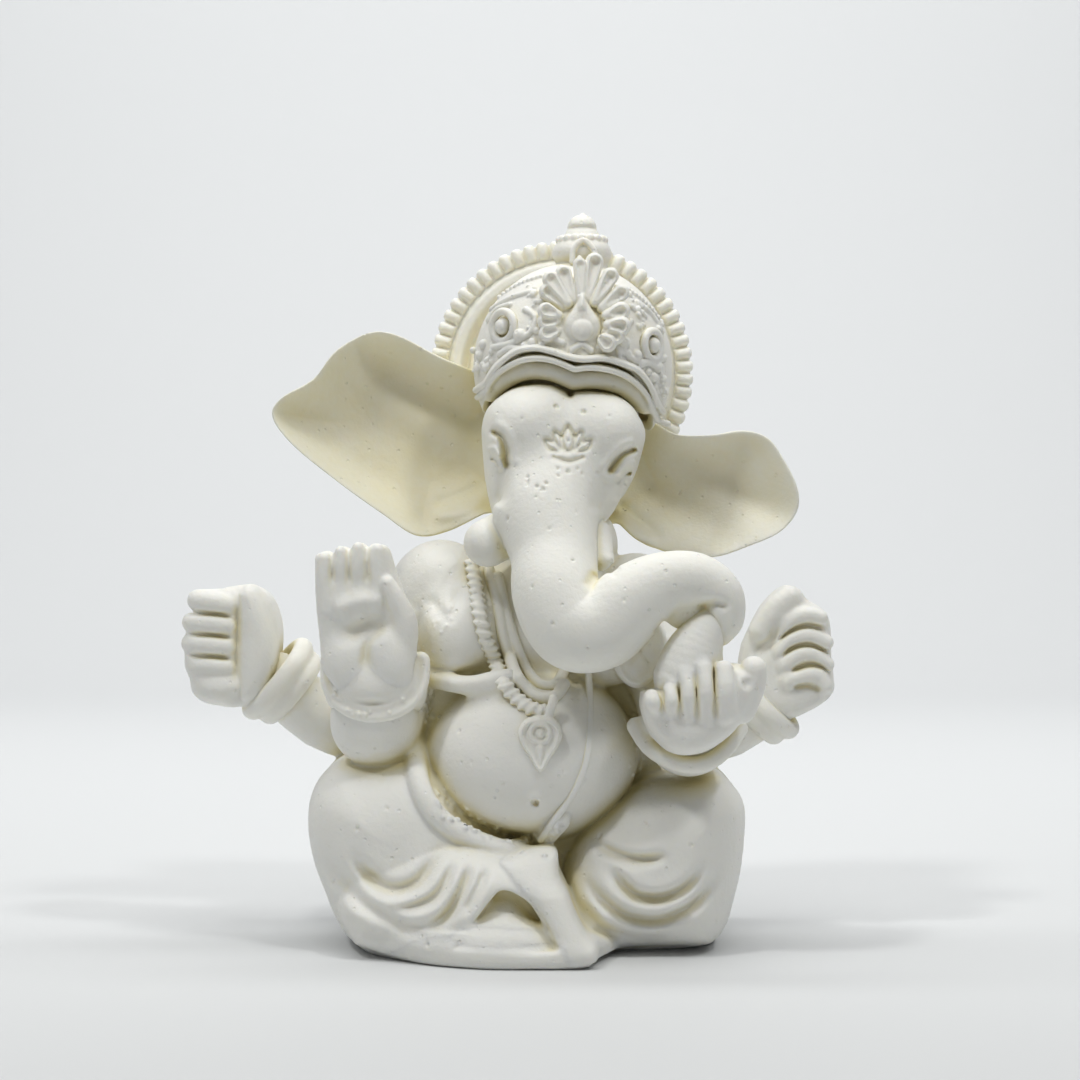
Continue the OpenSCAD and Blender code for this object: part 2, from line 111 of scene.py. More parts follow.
def rod(a, b, ra, rb):
    """A round-ended stick whose radius runs from ra to rb."""
    a, b = vec(*a), vec(*b)
    d = b - a
    length2 = max(float(d @ d), 1e-9)

    def distance(x, y, z):
        x, y, z = x - a[0], y - a[1], z - a[2]
        h = np.clip((x * d[0] + y * d[1] + z * d[2]) / length2, 0, 1)
        away = np.sqrt((x - d[0] * h) ** 2 + (y - d[1] * h) ** 2 + (z - d[2] * h) ** 2)
        return away - (ra + (rb - ra) * h)

    r = max(ra, rb)
    return Shape(np.minimum(a, b) - r, np.maximum(a, b) + r, distance)


def smooth(points, n):
    """A Catmull-Rom line through points, with n steps between neighbours."""
    p = np.array(points, dtype=np.float64)
    last = len(p) - 1
    t = np.arange(n)[:, None] / n
    out = []
    for i in range(last):
        a, b, c, d = (p[min(max(j, 0), last)] for j in (i - 1, i, i + 1, i + 2))
        out.append(
            0.5 * (2 * b + (c - a) * t + (2 * a - 5 * b + 4 * c - d) * t**2 + (3 * b - a - 3 * c + d) * t**3)
        )
    out.append(p[last:])
    return np.concatenate(out)


def closed(outline, n=4):
    """A smooth line right round an outline, without its first point again."""
    return smooth(outline + outline[:1], n)[:-1]


def limb(points, n=4):
    """A smooth round limb through points [x, y, z, radius]."""
    p = smooth(points, n)
    return [rod(p[i][:3], p[i + 1][:3], p[i][3], p[i + 1][3]) for i in range(len(p) - 1)]


def cord(points, r, n=4):
    return limb([(*p, r) for p in points], n)


def torus(centre, r, tube, tilt=(0, 0, 0), squash=1.0):
    """A ring round the local Z axis; squash stretches its tube along that axis."""
    c = vec(*centre)
    m = turn(tilt)
    reach = np.abs(m) @ vec(r + tube, r + tube, tube * squash)

    def distance(x, y, z):
        x, y, z = x - c[0], y - c[1], z - c[2]
        x, y, z = (m[0, i] * x + m[1, i] * y + m[2, i] * z for i in range(3))
        return np.sqrt((np.sqrt(x * x + y * y) - r) ** 2 + (z / squash) ** 2) - tube

    return [Shape(c - reach, c + reach, distance)]


def polygon_distance(points, x, z):
    """Signed distance in the XZ plane to a closed outline, negative inside it."""
    p = np.array(points, dtype=np.float64)
    best = np.full(np.broadcast(x, z).shape, 1e9)
    inside = np.zeros(best.shape, dtype=bool)
    for a, b in zip(p, np.roll(p, -1, axis=0)):
        e = b - a
        wx, wz = x - a[0], z - a[1]
        h = np.clip((wx * e[0] + wz * e[1]) / max(float(e @ e), 1e-9), 0, 1)
        best = np.minimum(best, (wx - e[0] * h) ** 2 + (wz - e[1] * h) ** 2)
        crosses = (a[1] > z) != (b[1] > z)
        slope = e[0] / e[1] if abs(e[1]) > 1e-9 else 0.0
        inside ^= crosses & (x < a[0] + (z - a[1]) * slope)
    best = np.sqrt(best)
    return np.where(inside, -best, best)


def xz_plane(x, z):
    """Open coordinate arrays, spread over the XZ plane."""
    x, z = x[:, :, 0], z[:, 0, :]
    return x + 0 * z, z + 0 * x


def rounded(a, b, r):
    """The overlap of two fields, with the edge where they meet rounded to r."""
    corner = np.sqrt(np.clip(a + r, 0, None) ** 2 + np.clip(b + r, 0, None) ** 2)
    return corner + np.minimum(np.maximum(a, b) + r, 0) - r


def pillow(outline, front, back, bulge, soft, lip=1.0):
    """A cushion that fills an outline of [x, z] points.

    It is fullest soft mm in from the edge, and falls away by bulge at the edge. front is a depth or a
    function of x and z."""
    edge = closed(outline)
    low, high = edge.min(0), edge.max(0)

    def distance(x, y, z):
        x2, z2 = xz_plane(x, z)
        inset = polygon_distance(edge, x2, z2)
        rim = 1 - np.clip(-inset / soft, 0, 1)
        fall = bulge * (1 - np.sqrt(np.clip(1 - rim * rim, 0, 1)))
        face = front(x2, z2) if callable(front) else front
        off = np.maximum((face + fall)[:, None, :] - y, y - (back - 0.5 * fall)[:, None, :])
        return rounded(off, inset[:, None, :] + 0 * y, lip) * GENTLE

    face = front(edge[:, 0], edge[:, 1]).min() if callable(front) else front
    return [Shape((low[0], face - 2, low[1]), (high[0], back + 1, high[1]), distance)]


# ---------------------------------------------------------------- blocks of clay


class Clay:
    """A block of samples of the distance to the cast surface, with the CAD node that each belongs to."""

    def __init__(self, low, high, step):
        self.low = vec(*low)
        self.step = step
        self.shape = tuple(int(n) for n in np.ceil((vec(*high) - self.low) / step) + 1)
        self.dist = np.full(self.shape, FAR, dtype=np.float32)
        self.raw = np.full(self.shape, FAR, dtype=np.float32)
        self.owner = np.zeros(self.shape, dtype=np.uint8)
        self.names = [None]

    def window(self, low, high):
        """The slices of samples in a box, and their open coordinate arrays."""
        first = np.clip(np.floor((low - self.low) / self.step), 0, None).astype(int)
        last = np.minimum(np.ceil((high - self.low) / self.step).astype(int) + 1, self.shape)
        cut = tuple(slice(a, max(a, b)) for a, b in zip(first, last))
        axes = []
        for i in range(3):
            form = [1, 1, 1]
            form[i] = -1
            line = self.low[i] + self.step * np.arange(cut[i].start, cut[i].stop)
            axes.append(line.astype(np.float32).reshape(form))
        return cut, axes

    def field(self, shapes, margin):
        """The hard union of shapes, with the slices it covers."""
        low = np.min([s.low for s in shapes], axis=0) - margin
        high = np.max([s.high for s in shapes], axis=0) + margin
        cut, _ = self.window(low, high)
        out = np.full(tuple(c.stop - c.start for c in cut), FAR, dtype=np.float32)
        for s in shapes:
            inner, axes = self.window(s.low - margin, s.high + margin)
            part = tuple(slice(i.start - c.start, i.stop - c.start) for i, c in zip(inner, cut))
            view = out[part]
            if view.size:
                np.minimum(view, s.distance(*axes).astype(np.float32), out=view)
        return cut, out

    def add(self, name, shapes, blend=1.0):
        """Lays shapes on for one CAD node, melting them in over the blend length."""
        if name not in self.names:
            self.names.append(name)
        cut, new = self.field(shapes, blend + 4 * self.step)
        mine = new < self.raw[cut]
        self.owner[cut][mine] = self.names.index(name)
        np.minimum(self.raw[cut], new, out=self.raw[cut])
        old = self.dist[cut]
        h = np.clip(blend - np.abs(old - new), 0, None)
        self.dist[cut] = np.minimum(old, new) - h * h / (4 * blend)

    def carve(self, shapes, blend=0.5):
        cut, new = self.field(shapes, blend + 4 * self.step)
        old = self.dist[cut]
        h = np.clip(blend - np.abs(old + new), 0, None)
        self.dist[cut] = np.maximum(old, -new) + h * h / (4 * blend)

    def ridge(self, shapes, width, height):
        """Raises a soft ridge along lines, or sinks a groove if height is negative."""
        cut, new = self.field(shapes, 2.2 * width)
        self.dist[cut] -= (height * np.exp(-np.square(np.clip(new, 0, None) / width))).astype(np.float32)

    def fold(self, line, width, height, depths, fade=0.25, lips=(0, 0), n=5):
        """Raises a soft line of [x, z] on the skin between two depths, or sinks it if height is negative.

        It dies away over the fade fraction of its length at each end, and lips raise the skin beside it, on
        the left and right of the way it runs."""
        p = smooth(line, n)
        margin = width * (LIP_REACH if any(lips) else FOLD_REACH)
        low = vec(p[:, 0].min() - margin, depths[0], p[:, 1].min() - margin)
        high = vec(p[:, 0].max() + margin, depths[1], p[:, 1].max() + margin)
        cut, (x, _, z) = self.window(low, high)
        x, z = x[:, :, 0], z[:, 0, :]
        near = np.full(np.broadcast(x, z).shape, 1e9)
        side, at = np.zeros_like(near), np.zeros_like(near)
        lengths = np.linalg.norm(np.diff(p, axis=0), axis=1)
        run = np.concatenate([[0], np.cumsum(lengths)])
        for i, length in enumerate(lengths):
            d = (p[i + 1] - p[i]) / max(length, 1e-9)
            u, v = x - p[i, 0], z - p[i, 1]
            h = np.clip(u * d[0] + v * d[1], 0, length)
            away = (u - d[0] * h) ** 2 + (v - d[1] * h) ** 2
            closer = away < near
            near = np.where(closer, away, near)
            side = np.where(closer, np.sign(d[0] * v - d[1] * u), side)
            at = np.where(closer, (run[i] + h) / run[-1], at)
        near = np.sqrt(near)
        amount = height * np.exp(-np.square(near / width))
        for lip, way in zip(lips, (1, -1)):
            if lip:
                aside = near * way * side - LIP_AWAY * width
                amount += lip * np.exp(-np.square(aside / (LIP_WIDE * width)))
        if fade:
            t = np.clip(np.minimum(at, 1 - at) / fade, 0, 1)
            amount *= t * t * (3 - 2 * t)
        self.dist[cut] -= amount[:, None, :].astype(np.float32)


def face_y(clay, x, z):
    """The depth of the first skin met at x, z when coming along +Y."""
    i = int(round((x - clay.low[0]) / clay.step))
    k = int(round((z - clay.low[2]) / clay.step))
    column = clay.dist[i, :, k]
    j = int(np.argmax(column < 0))
    if j == 0:
        return None
    return float(clay.low[1] + clay.step * (j - column[j] / (column[j] - column[j - 1])))


def resting(clay, line, lift=0.0, n=4):
    """Points along a line of [x, z] laid on the skin that looks along -Y, standing lift off it."""
    flat = smooth(line, n)
    depth = [face_y(clay, x, z) for x, z in flat]
    known = [d for d in depth if d is not None]
    depth = [d if d is not None else max(known) for d in depth]
    pad = np.pad(np.array(depth), 2, mode="edge")
    even = np.convolve(pad, np.ones(5) / 5, mode="valid")
    return [(x, y - lift, z) for (x, z), y in zip(flat, even)]


def strand(points, r):
    """A cord straight through points that are already close together."""
    return [rod(a, b, r, r) for a, b in zip(points[:-1], points[1:])]


def eggs(clay, rows):
    """Lays on eggs from rows of node, blend, centre, radii and, where one leans, its tilt."""
    for name, blend, *form in rows:
        clay.add(name, egg(*form), blend)


def folds(clay, depths, rows):
    """Folds from rows of line, width, height and, where they aren't the usual ones, fade and lips."""
    for line, width, height, *rest in rows:
        clay.fold(line, width, height, depths, *rest)


def grit(clay, name, line, spread, count, sizes):
    """Crumbs of casting powder caught along a line of [x, z]."""
    flat = smooth(line, 6)
    crumbs = []
    for _ in range(count):
        x, z = flat[dice.integers(len(flat))] + dice.normal(0, spread, 2)
        y = face_y(clay, x, z)
        if y is not None:
            crumbs.append((x, y, z, dice.uniform(*sizes)))
    for x, y, z, r in crumbs:
        clay.add(name, ball((x, y + 0.2 * r, z), r), 0.15)


def pits(clay, spots):
    """Air holes [x, z, radius] in the skin that looks along -Y."""
    for x, z, r in spots:
        y = face_y(clay, x, z)
        if y is not None:
            clay.carve(ball((x, y + 0.1 * r, z), r), 0.12)


def sample(block, clay, points):
    """Trilinear samples of one of a block's arrays at points."""
    q = (points - clay.low) / clay.step
    limit = np.array(clay.shape) - 1.001
    q = np.clip(q, 0, limit)
    i = q.astype(np.int64)
    f = q - i
    flat = block.reshape(-1)
    nx, ny, nz = clay.shape
    base = (i[:, 0] * ny + i[:, 1]) * nz + i[:, 2]
    out = np.zeros(len(points))
    for dx in (0, 1):
        wx = f[:, 0] if dx else 1 - f[:, 0]
        for dy in (0, 1):
            wy = f[:, 1] if dy else 1 - f[:, 1]
            for dz in (0, 1):
                wz = f[:, 2] if dz else 1 - f[:, 2]
                out += wx * wy * wz * flat[base + (dx * ny + dy) * nz + dz]
    return out


def slope(clay, points, reach):
    """The field's unit gradient at points, which is the surface normal there."""
    out = np.empty((len(points), 3))
    for a in range(3):
        d = np.zeros(3)
        d[a] = reach
        out[:, a] = sample(clay.dist, clay, points + d) - sample(clay.dist, clay, points - d)
    return out / (np.linalg.norm(out, axis=1)[:, None] + 1e-9)


def box_blur(a, r):
    """The mean over a cube of 2 r + 1 samples a side, with the edges repeated."""
    for axis in range(3):
        pad = [(0, 0)] * 3
        pad[axis] = (r + 1, r)
        total = np.cumsum(np.pad(a, pad, mode="edge"), axis=axis, dtype=np.float64)
        n = a.shape[axis]
        high = np.take(total, np.arange(2 * r + 1, 2 * r + 1 + n), axis=axis)
        low = np.take(total, np.arange(0, n), axis=axis)
        a = ((high - low) / (2 * r + 1)).astype(np.float32)
    return a


def skin(clay):
    """Closed quads for every node in a block, sharing vertices where nodes meet.

    Returns points, normals, whether each point is on the outside, and a dict of node name to
    (quads, whether each quad is outside)."""
    label = np.where(clay.dist < 0, clay.owner, 0).astype(np.uint8)
    label[0], label[-1] = 0, 0
    label[:, 0], label[:, -1] = 0, 0
    label[:, :, 0], label[:, :, -1] = 0, 0
    nx, ny, nz = clay.shape
    active = np.zeros((nx - 1, ny - 1, nz - 1), dtype=bool)
    edges = []
    for a in range(3):
        low = [slice(None)] * 3
        high = [slice(None)] * 3
        low[a], high[a] = slice(0, -1), slice(1, None)
        change = label[tuple(low)] != label[tuple(high)]
        change = change & ((label[tuple(low)] > 0) | (label[tuple(high)] > 0))
        edges.append(np.argwhere(change))
        b, c = [k for k in range(3) if k != a]
        for sb in (0, 1):
            for sc in (0, 1):
                part = [slice(None)] * 3
                part[b] = slice(sb, change.shape[b] - 1 + sb)
                part[c] = slice(sc, change.shape[c] - 1 + sc)
                active |= change[tuple(part)]
    cells = np.argwhere(active)
    number = np.full(active.shape, -1, dtype=np.int32)
    number[active] = np.arange(len(cells), dtype=np.int32)

    corner = [(i, j, k) for i in (0, 1) for j in (0, 1) for k in (0, 1)]
    at = {c: tuple((cells + c).T) for c in corner}
    lab = {c: label[at[c]] for c in corner}
    val = {c: clay.dist[at[c]] for c in corner}
    outer = np.zeros((len(cells), 4))
    inner = np.zeros((len(cells), 4))
    for c in corner:
        for a in range(3):
            if c[a]:
                continue
            d = tuple(c[k] + (k == a) for k in range(3))
            change = lab[c] != lab[d]
            wet = change & ((lab[c] == 0) | (lab[d] == 0))
            dry = change & ~wet
            gap = val[c] - val[d]
            t = np.where(np.abs(gap) > 1e-6, val[c] / np.where(np.abs(gap) > 1e-6, gap, 1), 0.5)
            t = np.where(wet, np.clip(t, 0.02, 0.98), 0.5)
            point = np.tile(np.array(c, dtype=np.float64), (len(cells), 1))
            point[:, a] += t
            for total, mask in ((outer, wet), (inner, dry)):
                total[mask, :3] += point[mask]
                total[mask, 3] += 1
    on_skin = outer[:, 3] > 0
    wet_mean, dry_mean = (total[:, :3] / np.maximum(total[:, 3:], 1) for total in (outer, inner))
    mean = np.where(on_skin[:, None], wet_mean, dry_mean)
    points = clay.low + clay.step * (cells + mean)
    normals = slope(clay, points, clay.step)
    off = np.clip(sample(clay.dist, clay, points), -0.5 * clay.step, 0.5 * clay.step)
    points[on_skin] -= (off[:, None] * normals)[on_skin]

    pieces = {}
    for a in range(3):
        e = edges[a]
        b, c = (a + 1) % 3, (a + 2) % 3
        e = e[(e[:, b] > 0) & (e[:, c] > 0) & (e[:, b] < clay.shape[b] - 1) & (e[:, c] < clay.shape[c] - 1)]
        far_end = e.copy()
        far_end[:, a] += 1
        first, second = label[tuple(e.T)], label[tuple(far_end.T)]
        ring = []
        for sb, sc in ((1, 1), (0, 1), (0, 0), (1, 0)):
            q = e.copy()
            q[:, b] -= sb
            q[:, c] -= sc
            ring.append(number[tuple(q.T)])
        quads = np.stack(ring, axis=1)
        outside = (first == 0) | (second == 0)
        for who, order in ((first, slice(None)), (second, slice(None, None, -1))):
            for n in np.unique(who):
                if n:
                    pick = who == n
                    pieces.setdefault(clay.names[n], []).append((quads[pick][:, order], outside[pick]))
    made = {
        name: (np.concatenate([q for q, _ in parts]), np.concatenate([o for _, o in parts]))
        for name, parts in pieces.items()
    }
    return points, normals, on_skin, made


ROOM_LOW, ROOM_HIGH = vec(-53, -34, -3), vec(48, 25, 104)


class Room:
    """Where the whole figure is solid, on one coarse grid, blurred over a few lengths."""

    def __init__(self, blocks, step, reaches):
        low, high = ROOM_LOW, ROOM_HIGH
        self.low, self.step = low, step
        self.shape = tuple(int(n) for n in np.ceil((high - low) / step))
        solid = np.zeros(self.shape, dtype=np.float32)
        for block in blocks:
            here, there = [], []
            for a in range(3):
                line = low[a] + step * np.arange(self.shape[a])
                near = np.round((line - block.low[a]) / block.step).astype(int)
                keep = (near >= 0) & (near < block.shape[a])
                here.append(np.nonzero(keep)[0])
                there.append(near[keep])
            part = block.dist[np.ix_(*there)] < 0
            solid[np.ix_(*here)] = np.maximum(solid[np.ix_(*here)], part)
        self.reaches = reaches
        self.blurs = [box_blur(solid, max(1, round(r / step))) for r in reaches]

    def crowding(self, points, normals):
        """How closed in each point is, from 0 on an open bulge to 1 deep in a crease."""
        out = np.zeros(len(points))
        for reach, blur in zip(self.reaches, self.blurs):
            out += sample(blur, self, points + normals * reach * 0.8) / len(self.reaches)
        return out


# ---------------------------------------------------------------- seat, legs and body


body = Clay((-40, -31, -1.5), (38, 22, 60), BODY_STEP)


SLAB = [
    (-22.5, -10), (-19, -18), (-14, -23.6), (-7, -26.8), (0, -27.4), (6, -26.8), (9.4, -22), (13, -14.4),
    (20, -12.6), (25, -8), (25.6, 2), (23, 10), (12, 17), (-10, 17), (-22, 9), (-24, -2)
]


def base_slab():
    outline = closed(SLAB)

    def distance(x, y, z):
        side = polygon_distance(outline, x[:, :, 0], y[:, :, 0])[:, :, None]
        return rounded(side, np.abs(z - 1.6) - 1.6, 1.3)

    body.add("base_slab", [Shape((-25, -28, 0), (27, 18, 3.2), distance)], 0.3)


RIGHT_LEG = [
    (-22, 26.2), (-25.8, 24.8), (-28.1, 22.9), (-29.6, 20.5), (-30.2, 17.4), (-30, 13.9), (-29.2, 10.5),
    (-27.8, 7), (-26.1, 3.5), (-24, 0.8), (-18, 0.1), (-8, 0.1), (2, 0.2), (3, 8), (0, 14), (-5, 18),
    (-10, 24), (-16, 27)
]
RIGHT_SHIN = [
    (-23, 1.4), (-25.4, 5.6), (-23.6, 9.4), (-18, 11.8), (-11.5, 14.4), (-6, 14.2), (-1, 13.6), (2.6, 13),
    (5, 8), (5, 2), (3, 0.4), (-8, 0.4), (-18, 0.4)
]
LEFT_LEG = [
    (20, 22.6), (24.8, 23.4), (27, 21.9), (28.4, 20.2), (29, 18.2), (28.9, 14.5), (28.4, 10.2), (27.4, 6),
    (26.6, 3.3), (25.1, 1.1), (22.6, 0.1), (17, 0), (9, 0), (5, 2), (4, 8), (6, 14), (10, 18), (15, 21.5)
]


# cloth gathered from under the sash into the lap, and over the left thigh
RIGHT_FOLDS = (
    ([(-10.5, 15.4), (-12.9, 12), (-14.7, 10.1), (-16.9, 9.3), (-19.3, 9.7), (-21.7, 11.6),
      (-24, 14.6)], 1.0, -1.5),
    ([(-9, 14.4), (-10.3, 11.6), (-11.5, 9.5), (-13.2, 8.1), (-16, 7.2), (-19, 7.4)], 0.75, -1.3),
    ([(-7.2, 13.6), (-8.4, 10.4), (-9.6, 8), (-10.9, 6.2), (-13.4, 4.6)], 0.75, -1.4),
    ([(-5.2, 13), (-6.3, 10.6), (-7.6, 8.2), (-8.8, 6)], 0.6, -0.9),
    ([(-28.6, 15.4), (-26.6, 12), (-24.4, 9.7), (-21.5, 7.4), (-18.4, 5.8), (-15.3, 4.8),
      (-11.6, 4.6)], 1.3, -1.2),
    ([(-27, 8.6), (-24, 5.4), (-20, 3.4), (-15, 2.8)], 1.1, -0.6),
)
LEFT_FOLDS = (
    ([(7.4, 16), (9.4, 14.4), (12, 13.4), (15, 13.1), (19, 13.8)], 0.75, -1.2),
    ([(9.6, 13), (11.3, 10.8), (12.6, 9.4), (14.1, 8.4), (16.7, 8.1), (19.2, 8.8), (21.3, 10.4),
      (23.6, 13.4)],
     0.85, -1.6),
    ([(6.6, 11.6), (8, 9.4), (9.6, 7.7), (11.7, 6.2), (13.6, 5.4), (16.2, 5.1), (18.7, 5.7), (21.3, 7.2),
      (23.3, 9.2), (25.6, 13)], 0.85, -1.6),
    ([(6.4, 8), (8.6, 5), (12, 3), (16, 2.4), (20, 3)], 0.8, -0.7),
)


def legs():
    def shin_front(x, z):
        return -25.4 + 0.2 * np.abs(x + 3) - 0.12 * (8 - z)

    body.add("right_leg", pillow(RIGHT_LEG, -20, 15, 13, 12, 2.5), 1)
    body.add("right_leg", pillow(RIGHT_SHIN, shin_front, 0, 6, 6, 2), 3.4)
    body.add("left_leg", pillow(LEFT_LEG, -20.8, 15, 10, 9.5, 2.5), 1.4)
    # the flat shelf on top of the knee
    body.carve(egg((-20, -12, 31), (9, 13, 6.4), (14, 0, 0)), 3)
    # each groove throws up a lip on its outer side
    for rows, lips in ((RIGHT_FOLDS, (0.35, 0.15)), (LEFT_FOLDS, (0.4, 0.1))):
        folds(body, CLOTH, [(*row, 0.3, lips) for row in rows])


ARCH = [
    (-9.4, 2.6), (-8.2, 4.3), (-6.6, 6.3), (-5, 8.4), (-3.6, 9.7), (-1.6, 9.3), (0.4, 8), (2.2, 4.9),
    (3.3, 2.4)
]


def foot():
    body.carve(pillow(ARCH, -36, -20.6, 0.01, 4, 0.4), 0.7)
    eggs(body, (
        ("front_foot", 0.8, (-3.2, -22.2, 2.2), (7.7, 4.7, 4.0), (0, 4, 0)),
        ("front_foot", 1.6, (-3.4, -21, 5), (2.8, 2.6, 3)),
    ))


def dhoti_end():
    outline = [
        (-4, 13), (-0.4, 14.3), (3.4, 14.3), (3.8, 11.4), (5, 9), (6, 6.5), (7.3, 4.2), (8.7, 2.6),
        (8.5, 0.7), (6.3, 0.1), (4.6, 0.6), (3.8, 2.6), (2.4, 5.2), (0.6, 8.1), (-1.8, 10.2)
    ]

    def front(x, z):
        return -27.6 + 0.26 * np.clip(z - 2, 0, 12) + 0.38 * np.clip(z - 9, 0, 6)

    body.add("dhoti_end", pillow(outline, front, -15, 1.5, 2.2, 0.9), 1.2)


def trunk_of_body():
    eggs(body, (
        ("torso", 2, (0.8, 4.5, 24), (14.4, 11.5, 18)),
        ("torso", 3, (0, 4, 11), (17, 14, 10.5)),
        ("torso", 0.8, (0.2, -7, 25.2), (14.6, 14, 11.6), (0, -6, 0)),
        ("torso", 2, (-12.8, -1.6, 32), (6.2, 6.4, 10)),
        ("torso", 2, (13.4, 0.6, 31), (7, 6.6, 10)),
        ("chest", 2, (1, 0, 42), (14.6, 10.6, 11.4)),
        ("chest", 2.4, (-12, -3, 48), (6.4, 6.4, 6.6)),
        ("chest", 2.6, (-9.4, -8.4, 42.2), (5.6, 5.2, 6.4), (0, 14, 0)),
        ("chest", 2, (10.8, -8.2, 41), (6.2, 5, 6)),
    ))
    under_breast = [(-14.6, -7.4, 36.6), (-10.8, -12, 35.8), (-6.8, -14, 35.6), (-2.6, -14.4, 36.2)]
    body.add("torso", cord(under_breast, 1.4), 2.4)
    body.add("neck", egg((3.6, 0.5, 54), (8.6, 8.6, 7)), 1.5)
    folds(body, (-20, -4), (
        ([(-13.8, 47.6), (-12.4, 45.6), (-10.8, 44.3), (-9.8, 46.4), (-9, 49)], 0.95, -0.4),
        ([(-13.8, 39.2), (-13, 37.6), (-10.6, 36.9), (-8, 37), (-5.2, 38.2)], 0.8, -0.5),
    ))


def arms():
    for name, blend, line in (
        ("right_front_arm", 1.2,
         [(-13, -1.5, 47.6, 6.4), (-17.2, -4.6, 38, 5.6), (-20.4, -9.6, 30.4, 6.1),
          (-20.6, -12.6, 32.2, 5.7)]),
        ("left_front_arm", 1.2,
         [(14.6, -1.5, 46.6, 6.2), (18, -6, 37, 5), (20.8, -11.6, 29.8, 5.8), (21, -16, 29.4, 5.9)]),
        ("right_rear_arm", 1.0,
         [(-13.6, 4.5, 44, 5.6), (-21, 5.4, 33, 4.8), (-27, 3.2, 28.8, 4.4), (-35.2, -0.3, 35, 4.1)]),
        ("left_rear_arm", 1.0,
         [(15, 4.5, 43, 5.4), (21.6, 5, 32, 4.4), (26, 3.2, 27.8, 4.2), (33, -0.8, 32.2, 4)]),
    ):
        body.add(name, limb(line), blend)


def flap():
    """The oval of shawl between the trunk and the hand that holds the sweet."""
    outline = [(12.4, 44.6), (16.2, 44.9), (18, 41.6), (17.6, 38), (14.6, 35.2), (12, 36.6), (11, 40.4)]
    body.add("chest", pillow(outline, -16.4, -6, 1.2, 2.4, 0.7), 0.5)
    ring = outline + outline[:1]
    folds(body, (-21, -10), (
        ([(x * 0.94 + 0.85, z * 0.94 + 2.4) for x, z in ring], 0.45, 0.5, 0),
        ([(12.6, 43), (16.4, 37.6)], 0.3, -0.25),
        ([(16.6, 43), (12.8, 37.8)], 0.3, -0.25),
    ))


def sash():
    line = [
        (-15, 27.2), (-15, 24.6), (-14.3, 22), (-12.9, 19.5), (-10.9, 17.4), (-8.4, 15.8), (-5.9, 14.7),
        (-3.2, 13.9), (-0.6, 13.8), (1.2, 14.4), (2.3, 15.8), (3.9, 17.8)
    ]
    # the lap is hollowed behind the band, where the belly meets the leg
    inner = [(x + 1.2, z + 1.5) for x, z in line[1:-1]]
    body.fold(inner, 0.8, -0.8, (-24, -6))
    points = resting(body, line, 0.5)
    body.add("waist_sash", strand(points, 1.45), 0.7)
    return inner


base_slab()
legs()
foot()
trunk_of_body()
LAP = sash()
dhoti_end()

# ---------------------------------------------------------------- jewellery on the bare body

jewels = Clay((-13, -27, 10), (14, -4, 54), DETAIL_STEP)


def ribbed(name, points, r, pitch):
    """A twisted cord: slanted grains every pitch mm on a thinner core."""
    jewels.add(name, strand(points, 0.72 * r), 0.1)
    run = 0.0
    for a, b in zip(points[:-1], points[1:]):
        a, b = vec(*a), vec(*b)
        step = float(np.linalg.norm(b - a))
        while run < step:
            p = a + (b - a) * run / step
            lean = math.degrees(math.atan2(b[0] - a[0], b[2] - a[2]))
            jewels.add(name, egg(p, (r * 1.08, r, 0.42 * pitch), (0, lean + 24, 0)), 0.12)
            run += pitch
        run -= step


def necklaces():
    outer = [
        (-7.8, 51.4), (-7, 46.8), (-6.5, 44), (-5.9, 41.5), (-4.7, 38.6), (-3.6, 36.1), (-1.9, 34),
        (0.2, 32.6), (1.8, 32.2)
    ]
    middle = [
        (-5.6, 50.6), (-4.4, 46.4), (-3.6, 42), (-2.8, 39.3), (-1.8, 36.9), (-0.2, 34.8), (1.4, 33.8),
        (3.4, 34), (4.6, 35.4)
    ]
    inner = [
        (-4.2, 49.6), (-3.2, 45.1), (-2.3, 41.9), (-1.5, 39.8), (-0.4, 37.3), (0.8, 35.8), (2.3, 35.2),
        (3.7, 35.6), (4.6, 37)
    ]
    ribbed("necklace_outer", resting(body, outer, 0.55), 1.1, 1.25)
    jewels.add("necklace_inner", strand(resting(body, middle, 0.45), 0.82), 0.2)
    jewels.add("necklace_inner", strand(resting(body, inner, 0.4), 0.76), 0.2)


def pendant():
    y = face_y(body, 1.4, 28)
    outline = [
        (1.4, 31.8), (3.2, 31.3), (4.2, 29.9), (3.9, 28.2), (2.8, 26.4), (1.4, 24.3), (0, 26.4),
        (-1.1, 28.2), (-1.4, 29.9), (-0.4, 31.3)
    ]

    def face(x, z):
        return y - 0.35 + 0.055 * (z - 28)

    jewels.add("pendant", pillow(outline, face, y + 3, 0.25, 0.6, 0.3), 0.1)
    rim = [(1.4 + 0.86 * (x - 1.4), 28.6 + 0.86 * (z - 28.6)) for x, z in outline + outline[:1]]
    jewels.fold(rim, 0.28, 0.4, (-27, -15), 0)
    jewels.add("pendant", torus((1.4, face(1.4, 29.6) - 0.1, 29.6), 1.25, 0.32, (90, 0, 0)), 0.15)
    jewels.add("pendant", egg((1.4, face(1.4, 29.6), 29.6), (0.6, 0.5, 0.6)), 0.15)
    jewels.add("pendant", [rod((1.4, face(1.4, 27.6), 27.6), (1.4, face(1.4, 25.6), 25.6), 0.5, 0.25)], 0.2)
    jewels.add("pendant", [rod((2.4, y + 0.8, 31.2), (3.2, y + 1.2, 34), 0.6, 0.6)], 0.3)


def thread():
    line = [
        (8.4, 40), (7.9, 37.6), (8, 33.1), (7.8, 28.5), (7.4, 25.8), (6.7, 23.7), (5.5, 21.2), (3.6, 18.5),
        (2.4, 16.7), (1.5, 15.2)
    ]
    jewels.add("sacred_thread", strand(resting(body, line, 0.1), 0.5), 0.15)


